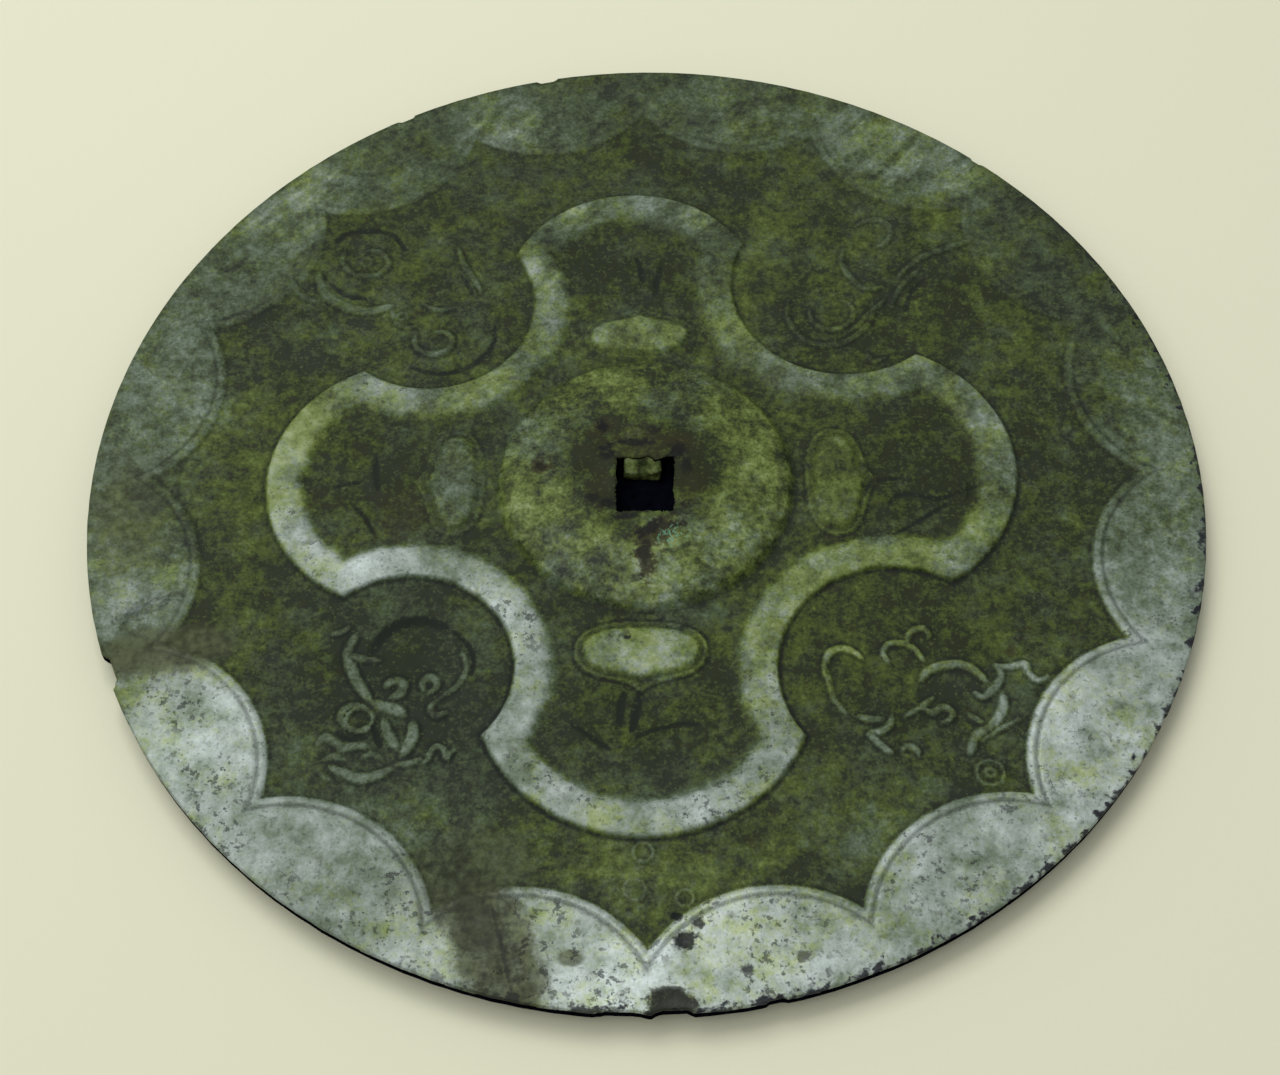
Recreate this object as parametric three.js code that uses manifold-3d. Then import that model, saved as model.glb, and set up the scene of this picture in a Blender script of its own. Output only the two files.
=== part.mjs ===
// A cast bronze mirror, lying on its polished face with its decorated back up.
// Millimetres, +Z up. The origin is the middle of the flat spot that the mirror lies on.
//
// The mirror is one casting, so it is one closed solid: a thin dished disc, a rim whose inner edge is a run
// of linked arcs, a quatrefoil band, four ovals, a low boss with a square recess, and thin raised strokes for
// the pairs of birds between the lobes. Its knob is broken away, and its edge is chipped.

import * as THREE from 'three';
import { mergeVertices } from 'three/addons/utils/BufferGeometryUtils.js';
import Module from 'manifold-3d';

const wasm = await Module();
wasm.setup();

// The disc. Its face bulges down as far as its back is dished, so its wall is even.
const discRadius = 80;
const rimThickness = 2.2;
const faceBulge = 2.4;
const backDish = 2.4;
const flatSpotRadius = 28;
const edgeChamfer = 0.35;
const discSides = 72;
const faceRings = 4;
const backRings = 6;

// Heights in the relief. The rim stands above the ground, and the rest is given above the ground.
const rimStep = 0.5;
const bandHeight = 0.8;
const ovalBaseHeight = 0.35;
const ovalHeight = 0.85;
const strokeHeight = 0.35;
const bossEdgeHeight = 1.1;
const bossHeight = 3.2;

// The layout of the carving, as shares of the disc's radius.
const scallopCount = 16;
const scallopCusp = 0.891;
const scallopBulge = 0.804;
const lobeCusp = 0.583;
const lobeHalfAngle = 25.3;
const biteReach = 0.381;
const bossShare = 0.27;
const ovalPlace = 0.346;

// The quatrefoil was cut by eye: how far its east, north, west and south lobes reach, as shares of the disc's
// radius, and how far each of its eight cusps is off its true place, in degrees, from the east lobe's south
// cusp on anticlockwise.
const lobeReach = [0.675, 0.677, 0.689, 0.702];
const cuspDrift = [2.8, 3.4, 5.6, 0.4, 0, -0.3, -3.3, 2.2];

// Widths and lengths in the relief.
const bandWidth = 5.9;
const grooveInset = 1.15;
const grooveWidth = 0.55;
const grooveDepth = 0.3;
const strokeWidth = 1.1;
const ovalHalfLength = 8.3;
const ovalHalfWidth = 3.5;
const ovalMargin = 0.9;
const ovalTip = 1.8;

// The square recess that the lost knob leaves in the boss, and the stub on its north wall.
const recessWidth = 8.2;
const recessLength = 9.1;
const recessFloor = 1;
const recessShift = -2;
const stubWidth = 5.4;
const stubLength = 2.6;
const stubDrop = 0.6;
const stubToeHeight = 0.9;

// Chips in the edge: where each lies, in degrees, with its half width and its depth.
const edgeChips = [
  { at: 203.5, halfWidth: 3, depth: 1 },
  { at: 101.5, halfWidth: 1.8, depth: 0.7 },
  { at: 119, halfWidth: 1.6, depth: 0.5 },
  { at: 272.5, halfWidth: 2.4, depth: 1.3 },
];

// One bird of a pair, beside its spandrel's middle line: each stroke's points give the share of the disc's
// radius out along that line, and across it.
const birdStrokes = [
  [[0.480, 0.014], [0.497, 0.052], [0.533, 0.066]],
  [[0.539, 0.030], [0.541, 0.078], [0.562, 0.114], [0.580, 0.100]],
  [[0.552, 0.086], [0.583, 0.082], [0.606, 0.062]],
  [[0.624, 0.036], [0.636, 0.088], [0.668, 0.114], [0.704, 0.106]],
  [[0.700, 0.142], [0.718, 0.118], [0.716, 0.086], [0.698, 0.076]],
  [[0.672, 0.138], [0.700, 0.174], [0.732, 0.160], [0.752, 0.172]],
  [[0.736, 0.108], [0.766, 0.066], [0.762, 0.022]],
];

// The sprig in each lobe, half of it, laid out in the same way.
const sprigStrokes = [
  [[0.510, 0.118], [0.523, 0.062], [0.502, 0.014]],
  [[0.440, 0.010], [0.462, 0.014], [0.480, 0.030]],
];

const rad = THREE.MathUtils.degToRad;
const polar = (radius, angle) => new THREE.Vector2(radius * Math.cos(angle), radius * Math.sin(angle));

// The heights of the disc's surfaces at a distance from its middle.
const rimTop = faceBulge + rimThickness;
const backAt = (r) => rimTop - backDish * (1 - (r / discRadius) ** 2);
const groundAt = (r) => backAt(r) - rimStep;
const faceAt = (r) => faceBulge * (Math.max(0, r - flatSpotRadius) / (discRadius - flatSpotRadius)) ** 2;

// A closed solid from a geometry, with its shared corners merged and its empty triangles left out.
function solidOf(geometry) {
  const bare = geometry.clone();
  bare.deleteAttribute('normal');
  bare.deleteAttribute('uv');
  const merged = mergeVertices(bare, 1e-4);
  const corners = [];
  for (let i = 0; i < merged.index.count; i += 3) {
    const [a, b, c] = [0, 1, 2].map((k) => merged.index.getX(i + k));
    if (a !== b && b !== c && c !== a) corners.push(a, b, c);
  }
  return new wasm.Manifold(new wasm.Mesh({
    numProp: 3,
    vertProperties: new Float32Array(merged.attributes.position.array),
    triVerts: new Uint32Array(corners),
  }));
}

// A solid of revolution from a profile of [radius, height] pairs, from the axis below to the axis above.
function turned(profile) {
  const points = profile.map(([r, z]) => new THREE.Vector2(r, z));
  return solidOf(new THREE.LatheGeometry(points, discSides).rotateX(Math.PI / 2));
}

// An upright prism over a closed outline.
function prism(outline, low, high) {
  const shape = new THREE.Shape(outline);
  return solidOf(new THREE.ExtrudeGeometry(shape, { depth: high - low, bevelEnabled: false }).translate(0, 0, low));
}

// Everything under a surface that stands some way above the disc's ground, within the disc.
function underLayer(height) {
  const profile = [[0, -1], [discRadius, -1]];
  for (let i = backRings; i >= 0; i--) {
    const r = discRadius * i / backRings;
    profile.push([r, groundAt(r) + height]);
  }
  return turned(profile);
}

// A raised shape over an outline, draped on the ground: its foot is just inside it, and its top follows it.
function raised(outline, height) {
  const inside = 0.4;
  const block = new THREE.ExtrudeGeometry(new THREE.Shape(outline), { depth: 1, bevelEnabled: false });
  const corners = block.attributes.position;
  for (let i = 0; i < corners.count; i++) {
    const ground = groundAt(Math.hypot(corners.getX(i), corners.getY(i)));
    corners.setZ(i, ground + (corners.getZ(i) > 0.5 ? height : -inside));
  }
  return solidOf(block);
}

// A circle through three points.
function circleThrough(a, b, c) {
  const [bx, by, cx, cy] = [b.x - a.x, b.y - a.y, c.x - a.x, c.y - a.y];
  const d = 2 * (bx * cy - by * cx);
  const ux = (cy * (bx * bx + by * by) - by * (cx * cx + cy * cy)) / d;
  const uy = (bx * (cx * cx + cy * cy) - cx * (bx * bx + by * by)) / d;
  return { x: a.x + ux, y: a.y + uy, radius: Math.hypot(ux, uy) };
}

// The point where two circles cross, the one nearer to a given point.
function crossing(p, q, near) {
  const [dx, dy] = [q.x - p.x, q.y - p.y];
  const gap = Math.hypot(dx, dy);
  const along = (gap * gap + p.radius ** 2 - q.radius ** 2) / (2 * gap);
  const aside = Math.sqrt(Math.max(0, p.radius ** 2 - along ** 2));
  const both = [1, -1].map((side) => new THREE.Vector2(
    p.x + (along * dx - side * aside * dy) / gap,
    p.y + (along * dy + side * aside * dx) / gap,
  ));
  return both[0].distanceTo(near) < both[1].distanceTo(near) ? both[0] : both[1];
}

// Points along a circle from one point to another, past a third, without the last one.
function arcPoints(circle, from, past, to, steps) {
  const angle = (p) => Math.atan2(p.y - circle.y, p.x - circle.x);
  const turn = (a) => THREE.MathUtils.euclideanModulo(a - angle(from), 2 * Math.PI);
  const left = turn(angle(past)) < turn(angle(to));
  const sweep = left ? turn(angle(to)) : turn(angle(to)) - 2 * Math.PI;
  const points = [];
  for (let i = 0; i < steps; i++) {
    const a = angle(from) + sweep * i / steps;
    points.push(new THREE.Vector2(circle.x + circle.radius * Math.cos(a), circle.y + circle.radius * Math.sin(a)));
  }
  return points;
}

// An outline of arcs that meet at cusps. Each arc runs past its own middle point, and the whole outline can
// be moved out or in by an amount that is given for each arc as the change of its radius.
function arcOutline(cusps, middles, grow, steps) {
  const arcs = middles.map((middle, i) => {
    const circle = circleThrough(cusps[i], middle, cusps[(i + 1) % cusps.length]);
    return { ...circle, radius: circle.radius + grow(i) };
  });
  const corners = cusps.map((cusp, i) => crossing(arcs.at(i - 1), arcs[i], cusp));
  return middles.flatMap((middle, i) => (
    arcPoints(arcs[i], corners[i], middle, corners[(i + 1) % corners.length], steps)
  ));
}

// The rim's inner edge, moved towards the rim by an inset.
function scallopOutline(inset) {
  const step = 2 * Math.PI / scallopCount;
  const arcSteps = 6;
  const cusps = [];
  const middles = [];
  for (let i = 0; i < scallopCount; i++) {
    cusps.push(polar(scallopCusp * discRadius, i * step));
    middles.push(polar(scallopBulge * discRadius, (i + 0.5) * step));
  }
  return arcOutline(cusps, middles, () => -inset, arcSteps);
}

// The quatrefoil's outline, moved inwards by an inset: its lobes shrink, and the bites between them grow.
function quatrefoilOutline(inset) {
  const arcSteps = 9;
  const cusps = [];
  const middles = [];
  for (let i = 0; i < lobeReach.length; i++) {
    const axis = i * 90;
    const drift = [cuspDrift[2 * i], cuspDrift[2 * i + 1]];
    cusps.push(polar(lobeCusp * discRadius, rad(axis - lobeHalfAngle + drift[0])));
    cusps.push(polar(lobeCusp * discRadius, rad(axis + lobeHalfAngle + drift[1])));
    middles.push(polar(lobeReach[i] * discRadius, rad(axis)));
    middles.push(polar(biteReach * discRadius, rad(axis + 45)));
  }
  return arcOutline(cusps, middles, (i) => (i % 2 ? inset : -inset), arcSteps);
}

// An oval across a lobe's axis. Its outer side comes to a small ogee tip where one is asked for.
function ovalOutline(axis, margin, tip) {
  const [length, width] = [ovalHalfLength + margin, ovalHalfWidth + margin];
  const middle = ovalPlace * discRadius;
  const shape = new THREE.Shape();
  shape.moveTo(-length, 0);
  shape.bezierCurveTo(-length, -width, -length / 2, -width, 0, -width);
  shape.bezierCurveTo(length / 2, -width, length, -width, length, 0);
  shape.bezierCurveTo(length, width, length / 3, width, 0, width + tip);
  shape.bezierCurveTo(-length / 3, width, -length, width, -length, 0);
  const outline = shape.getPoints(5).slice(0, -1);
  const turn = rad(axis) - Math.PI / 2;
  return outline.map((p) => new THREE.Vector2(p.x, p.y + middle).rotateAround(new THREE.Vector2(), turn));
}

// A ribbon along a smooth line through a stroke's points, with pointed ends.
function strokeOutline(stroke, axis, side) {
  const line = new THREE.SplineCurve(stroke.map(([out, across]) => new THREE.Vector2(out, side * across)
    .multiplyScalar(discRadius).rotateAround(new THREE.Vector2(), axis)));
  const steps = stroke.length + 1;
  const edge = (hand) => Array.from({ length: steps - 1 }, (_, i) => {
    const t = (i + 1) / steps;
    const along = line.getTangent(t);
    return line.getPoint(t).add(new THREE.Vector2(-along.y, along.x).multiplyScalar(hand * strokeWidth / 2));
  });
  return [line.getPoint(0), ...edge(-1), line.getPoint(1), ...edge(1).reverse()];
}

// The disc with its ground cut down inside the rim.
function disc() {
  const profile = [];
  for (let i = 0; i < faceRings; i++) {
    const r = i ? flatSpotRadius + (discRadius - flatSpotRadius) * (i - 1) / (faceRings - 1) : 0;
    profile.push([r, faceAt(r)]);
  }
  profile.push([discRadius - edgeChamfer, faceAt(discRadius)], [discRadius, faceAt(discRadius) + edgeChamfer]);
  profile.push([discRadius, rimTop - edgeChamfer]);
  for (let i = backRings; i >= 0; i--) {
    const r = (discRadius - edgeChamfer) * i / backRings;
    profile.push([r, backAt(r)]);
  }
  const field = prism(scallopOutline(0), 0, rimTop + 1).subtract(underLayer(0));
  return turned(profile).subtract(field);
}

// The thin line that is sunk in the rim beside its scalloped edge.
function rimGroove() {
  const top = rimTop + 1;
  const line = prism(scallopOutline(grooveInset + grooveWidth), 0, top)
    .subtract(prism(scallopOutline(grooveInset), -1, top + 1));
  return line.subtract(underLayer(rimStep - grooveDepth));
}

function quatrefoilBand() {
  const filled = raised(quatrefoilOutline(0), bandHeight);
  return filled.subtract(prism(quatrefoilOutline(bandWidth), -1, rimTop + bossHeight));
}

function oval(axis) {
  return raised(ovalOutline(axis, ovalMargin, ovalTip), ovalBaseHeight)
    .add(raised(ovalOutline(axis, 0, 0), ovalHeight));
}

// The boss: a low disc with a round shoulder and a barely domed top.
function boss() {
  const radius = bossShare * discRadius;
  const foot = groundAt(0) - rimStep;
  const profile = [[0, foot], [radius, foot], [radius, groundAt(radius) + bossEdgeHeight / 2]];
  const domeRings = 4;
  for (let i = 0; i <= domeRings; i++) {
    const r = radius * 0.97 * (1 - i / domeRings);
    const crown = groundAt(0) + bossHeight;
    const shoulder = groundAt(radius) + bossEdgeHeight;
    profile.push([r, crown - (crown - shoulder) * (r / radius) ** 2]);
  }
  return turned(profile);
}

// The square recess in the boss.
function recess() {
  const [x, y] = [recessWidth / 2, recessLength / 2];
  const outline = [[-x, -y], [x, -y], [x, y], [-x, y]].map(([u, v]) => new THREE.Vector2(u, v + recessShift));
  return prism(outline, faceAt(0) + recessFloor, rimTop + bossHeight);
}

// The stub: a wedge that slopes from the recess's north wall down to a toe above its floor.
function stub() {
  const back = recessShift + recessLength / 2 + 1;
  const front = recessShift + recessLength / 2 - stubLength;
  const foot = faceAt(0) + recessFloor / 2;
  const top = groundAt(0) + bossHeight - stubDrop;
  const side = new THREE.Shape([
    [back, foot], [back, top], [back - 1, top], [front, foot + recessFloor + stubToeHeight], [front, foot],
  ].map(([y, z]) => new THREE.Vector2(y, z)));
  const block = new THREE.ExtrudeGeometry(side, { depth: stubWidth, bevelEnabled: false });
  block.applyMatrix4(new THREE.Matrix4().makeBasis(
    new THREE.Vector3(0, 1, 0), new THREE.Vector3(0, 0, 1), new THREE.Vector3(1, 0, 0),
  ));
  return solidOf(block.translate(-stubWidth / 2, 0, 0));
}

// A bite out of the edge, as deep and as wide as asked.
function chip({ at, halfWidth, depth }) {
  const radius = (halfWidth ** 2 + depth ** 2) / (2 * depth);
  const middle = polar(discRadius + radius - depth, rad(at));
  const sides = 28;
  const outline = Array.from({ length: sides }, (_, i) => polar(radius, 2 * Math.PI * i / sides).add(middle));
  return prism(outline, -1, rimTop + 1);
}

function strokes() {
  const all = [];
  for (let i = 0; i < 4; i++) {
    for (const side of [1, -1]) {
      all.push(...birdStrokes.map((stroke) => strokeOutline(stroke, rad(90 * i + 45), side)));
      all.push(...sprigStrokes.map((stroke) => strokeOutline(stroke, rad(90 * i), side)));
    }
  }
  return all.map((outline) => raised(outline, strokeHeight));
}

function mirrorSolid() {
  let body = disc().subtract(rimGroove()).add(quatrefoilBand());
  for (let i = 0; i < 4; i++) body = body.add(oval(90 * i));
  for (const stroke of strokes()) body = body.add(stroke);
  body = body.add(boss()).subtract(recess()).add(stub());
  for (const bite of edgeChips) body = body.subtract(chip(bite));
  return body;
}

// The finished solid as a geometry.
function geometryOf(solid) {
  const mesh = solid.getMesh();
  const positions = [];
  for (const corner of mesh.triVerts) {
    for (let k = 0; k < 3; k++) positions.push(mesh.vertProperties[corner * mesh.numProp + k]);
  }
  const geometry = new THREE.BufferGeometry();
  geometry.setAttribute('position', new THREE.Float32BufferAttribute(positions, 3));
  geometry.computeVertexNormals();
  return geometry;
}

const bronze = new THREE.MeshStandardMaterial({ color: 0x5c6650, roughness: 0.6, metalness: 0.6 });
const mirror = new THREE.Mesh(geometryOf(mirrorSolid()), bronze);
mirror.name = 'mirror';

const part = new THREE.Group();
part.add(mirror);
export default part;
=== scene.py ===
"""A round cast bronze mirror that lies on its polished face, with its carved back up.

The whole mirror is one casting. Its blank is a profile spun about the middle, which is refined where the
relief is fine and then carved by moving its points. Lengths in the carving are in millimetres.
"""

import math

import bmesh
import bpy
import numpy as np
from bpy.props import FloatProperty, FloatVectorProperty, IntProperty, PointerProperty
from mathutils import Matrix, Vector, kdtree, noise


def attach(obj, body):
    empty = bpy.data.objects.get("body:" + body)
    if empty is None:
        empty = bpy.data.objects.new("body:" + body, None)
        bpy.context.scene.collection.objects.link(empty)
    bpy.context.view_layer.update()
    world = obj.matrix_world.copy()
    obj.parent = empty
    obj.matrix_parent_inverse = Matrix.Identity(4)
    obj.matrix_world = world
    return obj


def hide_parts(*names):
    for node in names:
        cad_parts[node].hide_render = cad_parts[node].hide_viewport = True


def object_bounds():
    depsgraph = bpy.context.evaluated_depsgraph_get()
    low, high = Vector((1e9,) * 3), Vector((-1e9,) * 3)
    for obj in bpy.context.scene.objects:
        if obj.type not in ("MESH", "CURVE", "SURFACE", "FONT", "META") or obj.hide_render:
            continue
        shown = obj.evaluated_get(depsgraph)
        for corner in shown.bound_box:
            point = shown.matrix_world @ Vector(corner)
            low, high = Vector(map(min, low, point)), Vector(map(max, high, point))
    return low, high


bl_info = {
    "name": "Bronze Mirror",
    "version": (1, 0, 0),
    "blender": (4, 5, 0),
    "location": "View3D > Sidebar > Mirror",
    "description": "Builds a cast bronze mirror with a quatrefoil band, bird scrolls and a worn patina",
    "category": "Object",
}

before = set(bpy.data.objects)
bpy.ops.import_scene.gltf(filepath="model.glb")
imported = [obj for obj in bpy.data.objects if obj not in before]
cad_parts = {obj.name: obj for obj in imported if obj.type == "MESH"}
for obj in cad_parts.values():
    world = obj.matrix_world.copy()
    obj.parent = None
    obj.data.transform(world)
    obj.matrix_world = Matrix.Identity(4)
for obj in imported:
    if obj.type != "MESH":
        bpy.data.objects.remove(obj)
CAD_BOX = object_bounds()
MM = 0.001

# The marks that each point carries for the patina: how worn it is there, with painted sheen and light in
# places; how dirty, with painted shade in the hollows and on shaded sides; how cool in colour it is; and
# whether stains can reach it.
MARKS = ("worn", "crease", "cool", "stained")

# A distance beyond any on the mirror.
FAR = 1e9

# The rim's inner edge is a run of equal arcs.
ARC_COUNT = 16
ARC_RADIUS = 20.1
ARC_CENTRE = 84.4

# The quatrefoil: the direction of each of its cusps, how far they lie from the middle, and how far the lobes
# and the bites between them reach.
CUSP_ANGLES = (-22.5, 28.7, 70.3, 115.7, 154.7, 205.0, 241.4, 297.5)
CUSP_RADIUS = 46.64
LOBE_REACH = (54.0, 54.2, 55.1, 56.2)
BITE_REACH = 30.5

# The four ovals: middle, direction outwards, half length and half width.
OVALS = (
    (27.7, -0.2, 0, 8.4, 3.6),
    (-0.7, 26.6, 90, 7.6, 3.4),
    (-27.7, 0.0, 180, 8.2, 3.4),
    (-0.7, -28.0, 270, 8.4, 3.9),
)

# How far north of the middle the square recess lies.
RECESS_SHIFT = -2.0

# How far in from the edge a chip pulls the metal, and the strip along the edge that isn't carved.
CHIP_REACH = 5
PLAIN_BORDER = 0.36

# The middle of the broken knob's stub, and how fast its two lumps rise and fall from west to east.
STUB_MIDDLE = (-0.4, 1.9, 2.9)
LUMP_TURN = 0.87

# The unevenness of the cast surface: the depth of each sort of dent, and how many there are to a length.
UNEVENNESS = ((0.07, 0.09), (0.03, 0.35), (0.012, 1.3))

# How far apart the points on a stroke's line are.
LINE_STEP = 0.15
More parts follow.
